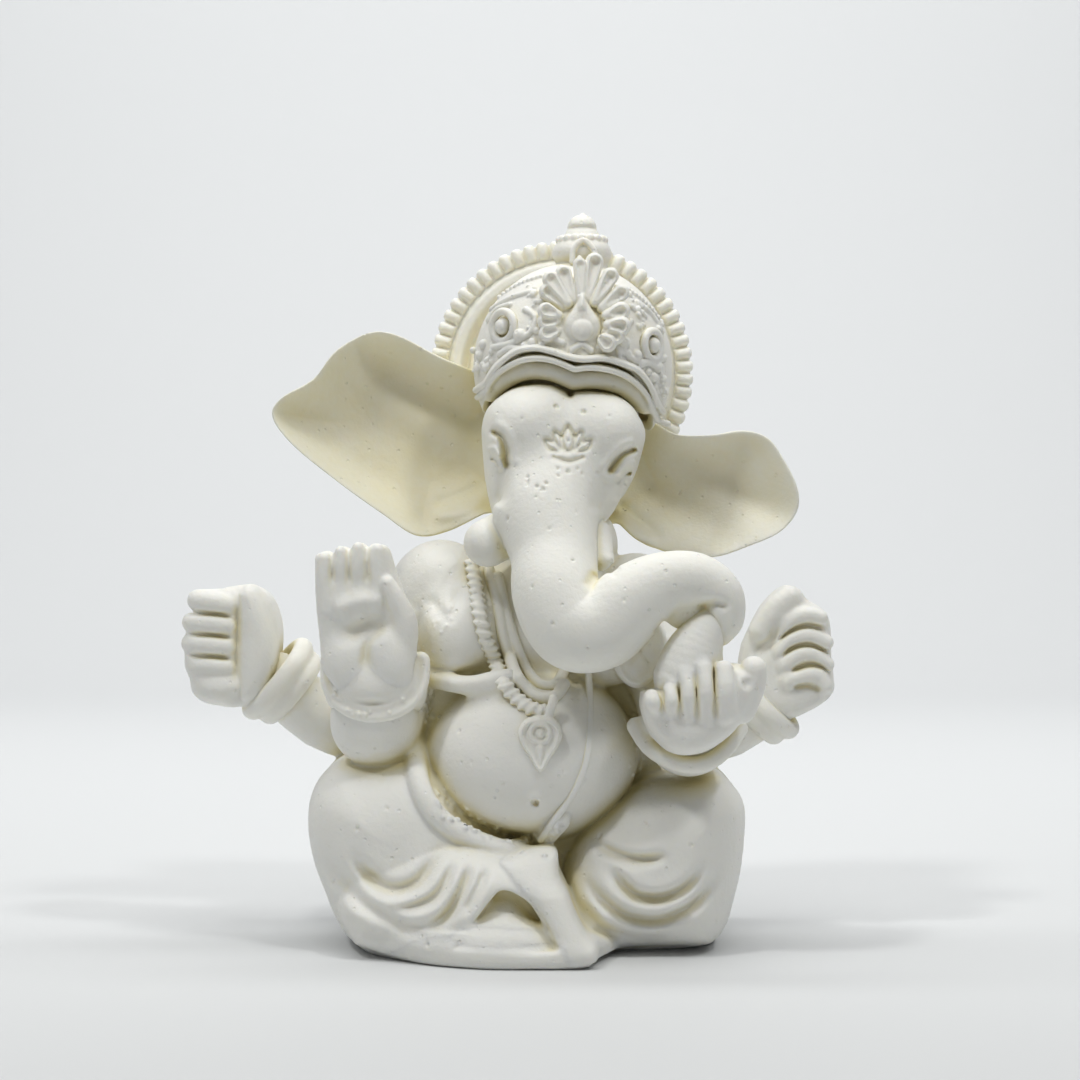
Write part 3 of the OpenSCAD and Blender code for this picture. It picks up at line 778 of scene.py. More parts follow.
necklaces()
pendant()
thread()
body.fold([(5.6, 36.6), (6, 34), (5.6, 32)], 0.6, -0.3, (-22, -10))
pits(body, [
    (0.7, 20.6, 0.62), (0.9, 20.3, 0.4), (9.2, 15.6, 0.5), (-16.2, 28, 0.5), (-6, 22.4, 0.22),
    (4.4, 24.6, 0.2), (-9.2, 29.4, 0.22)
])
body.fold([(-0.2, 20.7), (0.7, 21.3), (1.6, 20.7)], 0.5, 0.25, (-26, -14))
flap()
arms()
for node, line, spread, fine, quick, sizes in (
    ("torso", LAP[2:], 0.55, 170, 20, (0.18, 0.42)),
    ("torso", [(-14.2, 35.6), (-13.6, 33), (-13.4, 29.6)], 0.5, 60, 8, (0.18, 0.4)),
    ("chest", [(-13.4, 46.6), (-11, 44.4), (-13.6, 41), (-13.8, 38)], 0.8, 24, 4, (0.16, 0.3)),
    ("chest", [(-5.8, 46), (-4.8, 41), (-2.6, 36.6), (0, 34)], 0.35, 60, 8, (0.15, 0.32)),
    ("torso", [(14.2, 31), (15, 27), (14.6, 23)], 0.6, 70, 8, (0.18, 0.42)),
):
    grit(body, node, line, spread, fine if FINE else quick, sizes)
pits(body, [
    (-22.4, 17, 0.3), (-18.6, 19.6, 0.24), (-26, 9.4, 0.3), (-20.4, 4.2, 0.32), (-13, 2.8, 0.3),
    (15.4, 17.6, 0.26), (21, 15, 0.3), (12, 3.2, 0.3), (24.4, 4.6, 0.26), (2.8, 22.6, 0.2),
    (-7.6, 25.6, 0.2), (-3.4, 23, 0.18)
])

# the casting leaves the table along the front of the left leg, and the rest of its underside is ground flat
UNDERCUT = 0.8


def undercut(x, y, z):
    return np.maximum(np.maximum(z - UNDERCUT, 8 - x), y + 13)


body.carve([Shape((6, -31, -3), (38, -12, 1.2), undercut)], 0.3)
body.carve([Shape((-40, -31, -3), (38, 22, 0), lambda x, y, z: z + 0 * x + 0 * y)], 0.01)

# ---------------------------------------------------------------- head, trunk and ears

face = Clay((-37.5, -30, 35), (39, 12, 86), HEAD_STEP)

TRUNK = [
    (4.2, -9, 63.5, 7.6), (2.5, -13.2, 58.5, 6.8), (3.2, -17, 52.5, 5.7), (3.6, -20.2, 47.5, 5.8),
    (5.6, -22, 43.4, 5.6), (9.4, -22.6, 43.4, 5.4), (13.2, -22.8, 46.6, 4.9), (17, -22.8, 48.9, 4.1),
    (21.3, -22.8, 49.5, 3.5), (24.5, -22.8, 47.6, 3.0), (25.3, -22.6, 44.6, 2.4), (24.5, -22.4, 42.8, 1.9)
]
BROW = [
    (-4.6, 73.6), (-5.9, 72.2), (-6.5, 70.1), (-6.5, 67.8), (-6.3, 65), (-6.1, 62.6), (-5.8, 61),
    (-5.3, 58.9), (-4.4, 57), (0, 55.6), (6, 55.4), (9.6, 56.7), (11.5, 58.7), (12.6, 60.6), (13.2, 62.6),
    (13.7, 64.3), (14.4, 66.1), (15.4, 67.7), (15.6, 69.1), (15.1, 70.5), (13.7, 71.9), (12.2, 73.1),
    (10.2, 74.1), (8, 74.7), (6, 74.7), (5.2, 74.6), (3, 75.5), (0.6, 75.5), (-2.3, 74.9)
]


def head():
    name = "head_with_trunk"

    def brow_front(x, z):
        return -15.2 + 0.012 * (x - 5) ** 2 + 0.05 * (70 - z)

    face.add(name, egg((4.8, -2, 67.5), (10.4, 10.6, 9.4), (0, 8, 0)), 0.8)
    face.add(name, pillow(BROW, brow_front, 2, 6, 6.5, 1.6), 1.5)
    eggs(face, (
        (name, 0.6, (5, -2.6, 72.4), (10, 6.6, 6)),
        (name, 2.2, (0, -10, 69.4), (5.6, 6, 5.6)),
        (name, 2.2, (10, -10, 68.8), (5.2, 6, 5.4)),
    ))
    face.add(name, limb(TRUNK, 12), 2.2)
    eggs(face, (
        (name, 1.6, (-2.3, -14.2, 58), (2.4, 2.6, 2.6)),
        (name, 1.2, (20.8, -21.6, 46.4), (4, 2.2, 3.6)),
    ))
    face.add("right_tusk", limb([(-1, -9.6, 56.6, 3.2), (-5.6, -12.2, 54.2, 3.2)]), 0.4)
    face.add("left_tusk", limb([(9, -11.4, 55.4, 2.0), (9.8, -15.2, 51.8, 1.4)]), 0.4)
    # the notch where the brow meets the crown, and the fold of the trunk's tip
    face.fold([(5.4, 77), (5.5, 74.6), (5.3, 73.2)], 0.4, -0.9, (-20, -8))
    face.fold([(21.4, 45.3), (23.2, 46.5), (24.5, 46.5), (25.4, 45.4)], 0.6, -0.7, (-29, -18))
    # creases across the inside of the trunk
    for x, z, rise in ((8.6, 50.6, 1.0), (11.2, 51.6, 0.7), (17.6, 44.6, 1.0)):
        face.fold([(x, z), (x - 1.4 * rise, z - 2.2 * rise)], 0.7, -0.35, (-29, -14))


def eyes():
    """A lidded slit each side, with the hollow of the cheek under it."""
    folds(face, CHEEK, (
        ([(-5.4, 69.4), (-3.8, 68.4), (-3.1, 66.5), (-3.1, 65.2),
          (-2.6, 63.8)], 0.5, -1.2, 0.15, (0.3, 0.35)),
        ([(-3.9, 65), (-3.7, 61.6), (-4.4, 58.8)], 0.9, -0.8),
    ))
    folds(face, (-22, -6), (
        ([(-5.5, 66.4), (-4.8, 66.8), (-4, 65.4)], 0.42, 0.7, 0.15),
        ([(-5.3, 65.2), (-4.7, 65.4), (-3.9, 64.2)], 0.3, -0.7, 0.15),
    ))
    folds(face, CHEEK, (
        ([(14.6, 67), (12.5, 66.1), (11.2, 64.7), (10.3, 63.2)], 0.46, -1.15, 0.15, (0.35, 0.3)),
        ([(14.4, 65), (12.8, 64.5), (11.8, 63)], 0.45, 0.65, 0.15),
        ([(14, 63.9), (12.6, 63.3), (11.6, 62)], 0.3, -0.6, 0.15),
        ([(10.4, 63.1), (9.6, 61.4), (9.2, 60), (8.6, 58)], 0.9, -0.6),
        ([(13.4, 63), (12, 61.4), (11.4, 59.6)], 0.5, -0.4),
    ))


def brow_mark():
    """A small lotus with dots, cut into the brow."""
    x, z = 5.1, 67.0

    def cut(line, width=0.3, deep=-0.5):
        face.fold([(x + a, z + b) for a, b in line], width, deep, BROW_SKIN, 0)

    cut([(0, 2.6), (0.85, 1.1), (0.6, -0.2), (0, -0.7), (-0.6, -0.2), (-0.85, 1.1), (0, 2.6)])
    for s in (-1, 1):
        cut([(s * 0.9, -0.5), (s * 1.7, 0.5), (s * 1.8, 1.9), (s * 1.1, 1.4)])
        cut([(s * 1.4, -0.8), (s * 2.6, -0.3), (s * 3, 0.8), (s * 2.2, 0.6)])
    cut([(-1.9, -1.5), (0, -2.1), (1.9, -1.5)])
    for a, b, r in (
        (0, 0.7, 0.3), (-1.3, -3, 0.3), (0, -3.4, 0.34), (1.3, -3, 0.3), (-1.5, 5.3, 0.42), (2, 4.6, 0.42)
    ):
        y = face_y(face, x + a, z + b)
        face.carve(ball((x + a, y, z + b), r), 0.15)


def ear(name, outline, root_x, tip_x, root_y, tip_y, dish):
    """A dished sheet in an outline of [x, z], its middle at root_y by the head and at tip_y by the rim."""
    edge = closed(outline, 5)
    low, high = edge.min(0), edge.max(0)
    tall = high[1] - low[1]

    def distance(x, y, z):
        x2, z2 = xz_plane(x, z)
        inset = polygon_distance(edge, x2, z2)
        s = np.clip((x2 - root_x) / (tip_x - root_x), -0.2, 1.1)
        up = (z2 - low[1]) / tall
        inward = np.clip(-inset / 8.0, 0, 1)
        middle = root_y + (tip_y - root_y) * s + dish * (1 - (1 - inward) ** 2)
        wave = 0.25 * np.sin(x2 * 0.5 + z2 * 0.7)
        middle = middle + EAR_CURL * np.exp(-(((up - 0.12) / 0.16) ** 2)) * (1 - s) + wave
        t = (EAR_THICK * (0.6 + 0.4 * np.clip(-inset / 5.0, 0, 1)))[:, None, :]
        off = np.abs(y - middle[:, None, :]) - t
        return rounded(off, inset[:, None, :] + 0 * y, 0.45)

    y_low = min(root_y, tip_y) - EAR_THICK - 1 + EAR_CURL
    y_high = max(root_y, tip_y) + dish + EAR_THICK + 1
    face.add(name, [Shape((low[0], y_low, low[1]), (high[0], y_high, high[1]), distance)], 0.9)


EAR_THICK = 1.0
EAR_CURL = -3  # how far the lower edge by the head comes forward
RIGHT_EAR = [
    (-2, 77), (-6.2, 77.8), (-12.6, 80.2), (-18.2, 83), (-22.2, 83.4), (-26.6, 81), (-30, 76.8), (-34.4, 74),
    (-35.4, 71.4), (-32.4, 67.4), (-26, 62.2), (-20.4, 58.2), (-15.8, 55.2), (-11.4, 55.8), (-6.4, 58.2),
    (-2, 60)
]
LEFT_EAR = [
    (12, 71), (16.8, 71.2), (20.4, 69.4), (25, 69.2), (29.4, 69.8), (32.8, 68.8), (35, 65.8), (36.8, 61.8),
    (36.8, 58.6), (34.6, 55.8), (30.4, 53.8), (25.4, 52.2), (20, 52.6), (15, 54.6), (12.6, 56.8), (10, 58)
]

head()
eyes()
ear("right_ear", RIGHT_EAR, -4, -35, 3.6, -3, 5.4)
ear("left_ear", LEFT_EAR, 13, 37, 3.4, -2.8, 4.4)
# where the lower edges of the ears run in behind the cheeks
folds(face, (-8, 12), (
    ([(-5.6, 62.6), (-9.6, 60.8), (-14.4, 59.6)], 0.9, -0.5),
    ([(-6, 60.4), (-10, 58.4), (-14, 57.6)], 0.8, 0.6),
    ([(11.6, 60.4), (15, 57.4), (18.6, 55)], 0.9, -0.6),
    ([(12.4, 58), (15.4, 55.6), (18, 54)], 0.8, 0.6),
))
brow_mark()
pits(face, [
    (-0.3, 62.9, 0.32), (-0.3, 62.3, 0.34), (-0.3, 61.8, 0.28), (1, 61.6, 0.3), (2.2, 62, 0.28),
    (1.8, 61.2, 0.3), (7, 63.3, 0.28), (-2.9, 57.4, 0.32), (3.8, 63, 0.24), (9, 63.4, 0.28), (2.6, 56, 0.2),
    (5.6, 52, 0.22), (0.4, 48.6, 0.2), (3, 44, 0.24), (7.4, 41, 0.22), (12, 47, 0.24), (17.4, 50.6, 0.2),
    (-1, 70.6, 0.18), (10.6, 71, 0.2), (0.8, 60.2, 0.2), (6.2, 58.2, 0.2)
])

# ---------------------------------------------------------------- hands and bangles

right_front = Clay((-31, -23, 28), (-11, -8, 57), DETAIL_STEP)


def open_hand():
    clay, hand, bangle = right_front, "right_front_hand", "right_front_bangle"
    palm = [
        (-28.2, 52.2), (-28.1, 46.7), (-27.6, 41.5), (-27.2, 38.2), (-26.2, 35.8), (-24.2, 34.3),
        (-21.2, 33.6), (-18.8, 34), (-16.7, 35.3), (-15.4, 37.4), (-14.9, 40.6), (-15.2, 43.3),
        (-16.2, 46.9), (-17.6, 50.6), (-18.4, 53.2), (-19.4, 54), (-22.4, 54.2), (-25, 53.6), (-27.6, 52.9)
    ]
    clay.add(hand, pillow(palm, lambda x, z: -18.6 - 0.04 * (z - 40), -13.2, 1.9, 2.6, 0.7), 0.2)
    for x, top in ((-26.8, 52.1), (-24.7, 52.9), (-22.4, 53.4), (-19.8, 53.2)):
        finger = [(x * 0.96 - 0.9, -18, 45.4, 1.0), (x, -18.1, 49, 1.1), (x, -18.2, top, 0.95)]
        clay.add(hand, limb(finger), 0.5)
    for x in (-25.8, -23.6, -21.2):
        clay.fold([(x, 56), (x, 51), (x + 0.2, 48.6)], 0.42, -0.5, (-22, -11))
    clay.add(hand, egg((-18.3, -17.6, 39), (3.1, 2.6, 4.6), (0, -8, 0)), 1.0)
    thumb = [
        (-16.8, -17.2, 40, 2.0), (-16.3, -18, 43.6, 1.7), (-17.4, -18.6, 46.8, 1.35),
        (-18.5, -18.9, 48.9, 1.0)
    ]
    clay.add(hand, limb(thumb), 0.5)
    clay.add(hand, egg((-24, -17.2, 38.6), (3, 2.6, 4)), 1.2)
    clay.carve(egg((-21.2, -20.7, 43.3), (4.2, 1.8, 1.9), (0, -20, 0)), 1.2)
    folds(clay, (-22, -14), (
        ([(-26, 45.2), (-23.6, 46.3), (-21.2, 46.8), (-18.8, 46.2)], 1.0, 0.6, 0.2),
        ([(-27, 49.3), (-23.6, 49), (-20, 48.8)], 1.4, -0.3),
        ([(-25.8, 42.2), (-23.4, 42.6), (-20.8, 43.6), (-18.5, 44.6)], 1.2, -0.55, 0.4, (0.3, 0.1)),
        ([(-18.2, 44.2), (-20.3, 42), (-21.3, 40.4), (-21.5, 37)], 0.6, -0.35),
    ))
    rim = [
        (-26.3, -15.6, 38.4), (-26.1, -16.4, 35.6), (-24.8, -17.2, 33.6), (-22.8, -17.8, 32.4),
        (-20.2, -18, 32), (-17.4, -17.8, 32.6), (-15.5, -17.2, 34), (-14.5, -16.4, 36), (-14.4, -15.6, 38.6)
    ]
    clay.add(bangle, cord(rim, 1.3, 3), 0.2)
    clay.add(bangle, torus((-20.4, -13.2, 34.6), 5.0, 1.8, (-18, 0, 0), 1.5), 0.8)
    clay.ridge(cord([(x, y - 1.2, z) for x, y, z in rim], 0.05, 3), 0.5, -0.5)
    hem = [(-26.2, 36.2), (-24.8, 33.6), (-22.7, 32.2), (-20.2, 31.8), (-17.4, 32.4), (-15.2, 34)]
    grit(clay, bangle, hem, 0.25, 14 if FINE else 4, (0.25, 0.42))


left_front = Clay((11.5, -31, 20), (34, -10, 47.5), DETAIL_STEP)


def sweet_hand():
    clay, hand, bangle = left_front, "left_front_hand", "left_front_bangle"
    bowl = [
        (14.4, 35), (14.3, 32.9), (15.4, 29.9), (17.4, 27.7), (19.8, 26.9), (22.7, 27.4), (25.5, 29.2),
        (27.4, 31.4), (29.4, 34.9), (28.8, 38), (25, 38.6), (20, 36.6)
    ]
    sweet = [(20.6, -22.4, 37, 4.6), (21.2, -22.8, 40, 3.7), (22.6, -23, 43, 2.5), (23.2, -23, 44.6, 1.4)]
    clay.add("modak", limb(sweet), 0.3)
    clay.add(hand, pillow(bowl, -27, -18, 3.2, 3.6, 1.2), 0.3)
    for x, low, top, r in (
        (15.7, 33.6, 34.6, 1.1), (18.0, 33.2, 35.4, 1.05), (20.1, 32.6, 37.2, 1.15), (22.3, 32.4, 38.2, 1.2),
        (24.8, 32.8, 38, 1.4)
    ):
        finger = [(x + 0.2, -26.4, low, r), (x, -27.4, (low + top) / 2, r), (x - 0.1, -26.4, top, r * 0.95)]
        clay.add(hand, limb(finger), 0.8)
    for x, low, top in ((16.9, 32.2, 36), (19.1, 31.6, 37.6), (21.2, 31, 39), (23.5, 31, 40)):
        clay.fold([(x, top), (x + 0.1, low)], 0.42, -0.3, (-31, -22))
    clay.add(hand, limb([(27.2, -23.4, 33, 2.0), (28.4, -24, 36, 1.9), (28.7, -24.4, 38, 1.75)]), 0.5)
    clay.carve(ball((27.9, -26.9, 36.4), 0.9), 0.4)
    rim = [
        (13.9, -17.4, 30.2), (15.6, -19.2, 27.7), (18.2, -20.8, 26.1), (21, -21.4, 25.5), (23.6, -21, 26.1),
        (25.8, -19.8, 27.8), (27.4, -18.4, 30)
    ]
    clay.add(bangle, cord(rim, 1.15, 3), 0.2)
    clay.add(bangle, torus((21, -16.6, 30.2), 5.2, 1.4, (-34, -6, 0), 1.5), 1.0)


right_rear = Clay((-51, -10, 26), (-27, 9, 52), DETAIL_STEP)


def right_rear_hand():
    clay, hand, bangle = right_rear, "right_rear_hand", "right_rear_bangle"
    palm = [
        (-40.6, 48.2), (-38.6, 48.4), (-36.1, 46.9), (-34.8, 44), (-34.5, 40.9), (-35, 36.6), (-36.4, 33.4),
        (-39.2, 31.8), (-42.4, 32.6), (-43, 40), (-42.6, 47)
    ]
    clay.add(hand, pillow(palm, -5.4, 3.6, 1.0, 1.6, 0.7), 0.2)
    fist = [
        (-40.4, 48), (-44.8, 47.3), (-46.2, 45.6), (-47.1, 42.8), (-47.4, 39.6), (-47.2, 37), (-46.2, 35),
        (-44.2, 33.8), (-40.3, 33), (-38, 36), (-38, 46)
    ]
    clay.add(hand, pillow(fist, -6.1, 3, 1.6, 2, 1.0), 0.6)
    for x, z, dip, r in (
        (-45.2, 46.3, 0.7, 1.5), (-45.9, 43.3, 0.5, 1.45), (-46, 40.4, 0.4, 1.45), (-45.6, 37.5, 0.2, 1.35)
    ):
        finger = [
            (-40.8, -5.4, z - dip, r * 0.9), (-43, -5.8, z - 0.3 * dip, r), (x, -4.6, z, r),
            (x - 0.2, -1.4, z, r), (x + 2.6, 2.2, z, r)
        ]
        clay.add(hand, limb(finger), 0.3)
    clay.add(hand, egg((-42.6, -3.4, 34.6), (3.9, 3.6, 2.7)), 0.8)
    thumb = [
        (-39.9, 47.4), (-38.7, 48.5), (-37.3, 48.1), (-36.1, 46.4), (-35.1, 43.6), (-34.5, 40.9),
        (-34.6, 37.6), (-35.6, 34.6), (-37.2, 32.8), (-39.6, 32.8), (-40, 38), (-39.8, 43)
    ]
    clay.add(hand, pillow(thumb, lambda x, z: -7.3 + 0.05 * np.abs(z - 44), -1, 2.2, 2.4, 0.8), 0.3)
    clay.fold([(-40.2, 47.4), (-39.9, 43), (-40.1, 38), (-39.8, 34.4)], 0.4, -0.5, (-9, 2))
    for z in (44.7, 41.8, 38.9):
        clay.fold([(-47.6, z + 0.1), (-43, z - 0.2), (-40.3, z - 0.6)], 0.3, -0.45, (-9, 5))
    clay.add(bangle, torus((-35, -0.6, 35.4), 5.6, 1.25, (10, -50, 0), 1.1), 0.2)
    clay.add(bangle, torus((-33.4, -0.4, 34.2), 4.8, 1.2, (10, -50, 0), 1.3), 0.5)


left_rear = Clay((24, -11, 24), (46, 9, 51), DETAIL_STEP)


def left_rear_hand():
    clay, hand, bangle = left_rear, "left_rear_hand", "left_rear_bangle"
    palm = [
        (29.4, 40.1), (31.4, 44.4), (33.3, 46.9), (35.4, 48.3), (37.1, 47.8), (38.2, 46.4), (39.9, 45.4),
        (41.1, 43.8), (41.4, 41.8), (41.5, 38.4), (41.8, 35.7), (41.8, 33.9), (40.6, 32.4), (38.1, 30.9),
        (35.1, 30), (31.4, 31.6), (29, 36)
    ]
    clay.add(hand, pillow(palm, -5.6, 3, 2.0, 3, 0.8), 0.2)
    for line in (
        [(33.4, 41.2), (35.3, 43.4), (37.6, 44.4), (39.6, 44)],
        [(34, 39.6), (35.6, 41), (38, 41.6), (40.4, 40.6)],
        [(34.8, 37.6), (36.8, 39), (39, 38.9), (40.5, 37.6)],
        [(35.2, 35.4), (37.6, 36.2), (39.4, 36), (40.3, 34.8)],
    ):
        clay.add(hand, cord([(x, -5.6 + 0.12 * abs(x - 37.4), z) for x, z in line], 1.1), 0.7)
    for line in (
        [(33.1, 39.9), (35.3, 42), (37.9, 42.9), (41, 42.2)],
        [(33.9, 38.3), (35.7, 39.8), (38.3, 40.3), (41.2, 38.9)],
        [(35.2, 36.5), (37.9, 37.6), (39.7, 37.4), (41.4, 36.2)],
        [(35.6, 34.4), (37.9, 34.8), (40, 33.9)],
    ):
        clay.fold(line, 0.32, -0.6, (-10, -1))
    clay.carve(egg((32, -8.6, 41.2), (2.4, 4.2, 4.4), (0, 24, 0)), 0.8)
    clay.add(hand, limb([(31.4, -4.8, 42.2, 1.5), (33.6, -5, 45.4, 1.5), (35.4, -4.8, 46.9, 1.3)]), 1.2)
    clay.add(bangle, torus((32.6, -0.6, 32), 5.0, 1.2, (10, 46, 0), 1.1), 0.2)
    clay.add(bangle, torus((31.2, -0.4, 30.8), 4.4, 1.1, (10, 46, 0), 1.3), 0.5)


open_hand()
sweet_hand()
right_rear_hand()
left_rear_hand()

# ---------------------------------------------------------------- crown and halo

crown = Clay((-11, -20, 66), (22.5, 14, 102.5), CROWN_STEP)
CROWN_C = vec(5.9, -1.2, 78.5)
CROWN_R = vec(13.7, 12.2, 14.3)
CROWN_WALL = 1.3
RIM = [
    (-8.2, 73.4), (-7.2, 74.2), (-5.8, 74.9), (-5.2, 76), (-3.7, 77.4), (-1.4, 78.5), (1, 78.8), (3.3, 78.4),
    (5.5, 77.5), (6.1, 77.3), (7.6, 77.5), (9.7, 77.4), (12.2, 76.8), (14, 75.8), (15.6, 74.3), (16.5, 72.6),
    (17.4, 71.2), (19, 70.6), (20, 70.5)
]


def shell_y(x, z, out=0.0):
    """The depth of the crown's front at x, z, standing out from it."""
    inside = 1 - ((x - CROWN_C[0]) / CROWN_R[0]) ** 2 - ((z - CROWN_C[2]) / CROWN_R[2]) ** 2
    return CROWN_C[1] - CROWN_R[1] * math.sqrt(max(inside, 0.02)) - out


def shell():
    edge = np.array(RIM)
    whole = egg(CROWN_C, CROWN_R)[0]
    hollow = egg(CROWN_C, CROWN_R - CROWN_WALL)[0]

    def line(x, y):
        """The height of the shell's lower edge, which drops towards the back."""
        return np.interp(x, edge[:, 0], edge[:, 1]) - 0.28 * np.clip(y + 9, 0, 20)

    def outside(x, y, z):
        return np.maximum(whole.distance(x, y, z), (line(x, y) - z) * GENTLE)

    def inside(x, y, z):
        return np.maximum(hollow.distance(x, y, z), (z - line(x, y) - 1.5) * GENTLE)

    crown.add("crown_dome", [Shape(whole.low, whole.high, outside)], 0.3)
    crown.carve([Shape(whole.low, whole.high, inside)], 0.4)


def brow_band():
    name = "crown_brow_band"
    lower = [(x, shell_y(x, z, 0.1), z) for x, z in smooth(RIM[1:-1], 4)]
    upper = [
        (-7.4, 75.2), (-6, 75.9), (-4.6, 77.8), (-1.9, 79.8), (0.7, 80.2), (2.9, 79.7), (5.3, 78.9),
        (7.3, 78.6), (9.9, 78.8), (12.5, 78.1), (14.5, 77.3), (16.1, 75.5), (17.2, 73.4), (18.2, 72.2)
    ]
    upper = [(x, shell_y(x, z, 0.3), z) for x, z in smooth(upper, 4)]
    crown.fold([(x, z + 0.8) for x, z in RIM[2:-2]], 0.4, -0.6, (-20, -3))
    crown.add(name, strand(lower, 0.44), 0.1)
    crown.add(name, strand([(x, y - 0.4, z) for x, y, z in lower], 0.36), 0.1)
    crown.add(name, strand(upper, 0.5), 0.1)
    crown.add(name, strand([(x, y - 0.5, z - 0.1) for x, y, z in upper], 0.36), 0.1)


def lining():
    """The crown's own thickness, seen between its edge and the brow."""
    points = [(x, y + 3.6, z - 1.3) for x, y, z in resting(crown, RIM[3:-4], 0)]
    crown.add("crown_dome", strand(points, 1.3), 0.6)


FAN_C = (7.0, 83.4)
FAN = [
    (-106, 5.6), (-88, 5.8), (-70, 6.0), (-48, 7.1), (-33, 8.2), (-18, 8.4), (-4, 8.8), (10, 9.4), (31, 8.4),
    (52, 7.4), (72, 6.4), (92, 6.0), (110, 5.5), (128, 5.3)
]


def petals():
    """Scooped leaves round the gem, no two quite alike."""
    for turned, long in FAN:
        a = math.radians(turned + dice.uniform(-2, 2))
        long += dice.uniform(-0.25, 0.25)
        rise = dice.uniform(-0.25, 0.35)
        wide = (1.2 if abs(turned + 4) > 8 else 0.9) * dice.uniform(0.92, 1.1)

        def along(r, out, side=0.0):
            x = FAN_C[0] + r * math.sin(a) + side * math.cos(a)
            z = FAN_C[1] + r * math.cos(a) - side * math.sin(a)
            lean = -13.4 + 0.4 * max(z - FAN_C[1], 0) + 0.035 * (x - FAN_C[0]) ** 2
            return vec(x, min(lean, shell_y(min(x, 18.6), z)) - out - rise, z)

        for start, end, ra, rb, blend in (
            (along(3.4, -0.4), along(long - 0.8, 0.5), 0.7, wide, 0.1),
            (along(long - 1.3, 0.5), along(long + 0.1, 1.1), wide * 0.8, 0.3, 0.2),
            (along(3.2, -1.6), along(long - 1.6, -1.2), 0.8, wide * 0.8, 0.1),
        ):
            crown.add("crown_petal_fan", [rod(start, end, ra, rb)], blend)
        crown.carve([rod(along(3.2, 0.7, 0.1), along(long - 0.9, 1.5, 0.15), 0.3, wide * 0.62)], 0.1)
    crown.carve([rod((FAN_C[0], -16.2, 82.6), (FAN_C[0], -15.8, 87), 3.2, 1.5)], 0.5)


def gem():
    y = shell_y(FAN_C[0], 82.8) + 1.2
    drop = [
        (7, 87.4), (8.3, 85.5), (9.5, 83.7), (9.4, 81.9), (8.3, 80.7), (7, 80.4), (5.7, 80.7), (4.6, 81.9),
        (4.5, 83.7), (5.7, 85.5)
    ]
    crown.add("crown_gem", pillow(drop, y - 2.1, y + 2, 1.5, 1.8, 0.4), 0.3)
    crown.fold([(7, 87.6), (6.9, 85)], 0.4, 0.5, (-20, -8))
    crown.add("crown_gem", egg((FAN_C[0], y - 1.9, 82.5), (1.45, 0.8, 1.45)), 0.12)


ROSETTES = (("crown_right_rosette", -3.6, 83.4, 2.0, 1.15), ("crown_left_rosette", 16.6, 80.9, 1.9, 1.1))


def rosettes():
    for name, x, z, wide, r in ROSETTES:
        y = shell_y(x, z)
        lean = math.degrees(math.asin(max(-0.95, min(0.95, (x - CROWN_C[0]) / CROWN_R[0]))))
        crown.carve(ball((x, y - 1.0, z), wide), 0.3)
        crown.add(name, torus((x, y - 0.2, z), wide, 0.55, (90, 0, lean)), 0.15)
        crown.add(name, ball((x, y + 0.1, z), r), 0.15)


PEARLS = (
    (-1.3, 82, 0.9), (0.4, 80.9, 0.7), (12.6, 81, 0.9), (14.4, 79.4, 0.7), (-7, 78, 0.72),
    (-6.7, 79.7, 0.72), (-6.3, 81.2, 0.72), (-5.8, 77.9, 0.72), (17.4, 78, 0.72), (18, 76.4, 0.72),
    (18.3, 74.8, 0.72), (16.6, 76.6, 0.72)
)
SCROLLS = (
    (5, 0.42, (
        [(-5.2, 86.2), (-2.7, 87.4), (0.2, 88.1)],
        [(14.6, 86.8), (16.6, 85.2), (18, 83)],
        [(-5, 80.6), (-2.4, 81), (0.2, 82.4), (0.8, 84.4), (-0.6, 85.6)],
        [(18.4, 79.4), (15.6, 78.4), (13, 79.4), (12.4, 82), (13.6, 84)],
    )),
    (4, 0.45, (
        [(1.6, 80.6), (3, 81.4), (4.4, 80.8)],
        [(9.2, 80.2), (10.8, 81), (12, 80)],
        [(5.6, 79.8), (7, 80.6), (8.2, 79.8)],
        [(-4, 79.6), (-2.6, 80.3), (-1.2, 80)],
        [(-5.6, 84.6), (-4.4, 86), (-2.6, 86.4)],
        [(14.8, 78), (16, 78.6), (17.2, 77.8)],
    )),
)
BEAD_ROWS = (((-4.2, 88), (1.6, 90.4)), ((13.4, 88.6), (18, 84.6)))
BEAD_STEPS, SPRIGS = 10, 150


def pearl(x, z, r, out=0.0):
    crown.add("crown_pearls", ball((x, shell_y(x, z, out), z), r), 0.12)


def lumps():
    """Pearls, rows of beads and scrolls on the shell."""
    for x, z, r in PEARLS:
        pearl(x, z, r)
    for start, end in BEAD_ROWS:
        for i in range(BEAD_STEPS + 1):
            t = i / BEAD_STEPS
            x = start[0] + (end[0] - start[0]) * t
            z = start[1] + (end[1] - start[1]) * t + 0.35 * math.sin(math.pi * t)
            pearl(x, z, 0.36, 0.1)
    for steps, r, lines in SCROLLS:
        for line in lines:
            points = [(x, shell_y(x, z), z) for x, z in smooth(line, steps)]
            crown.add("crown_pearls", strand(points, r), 0.15)


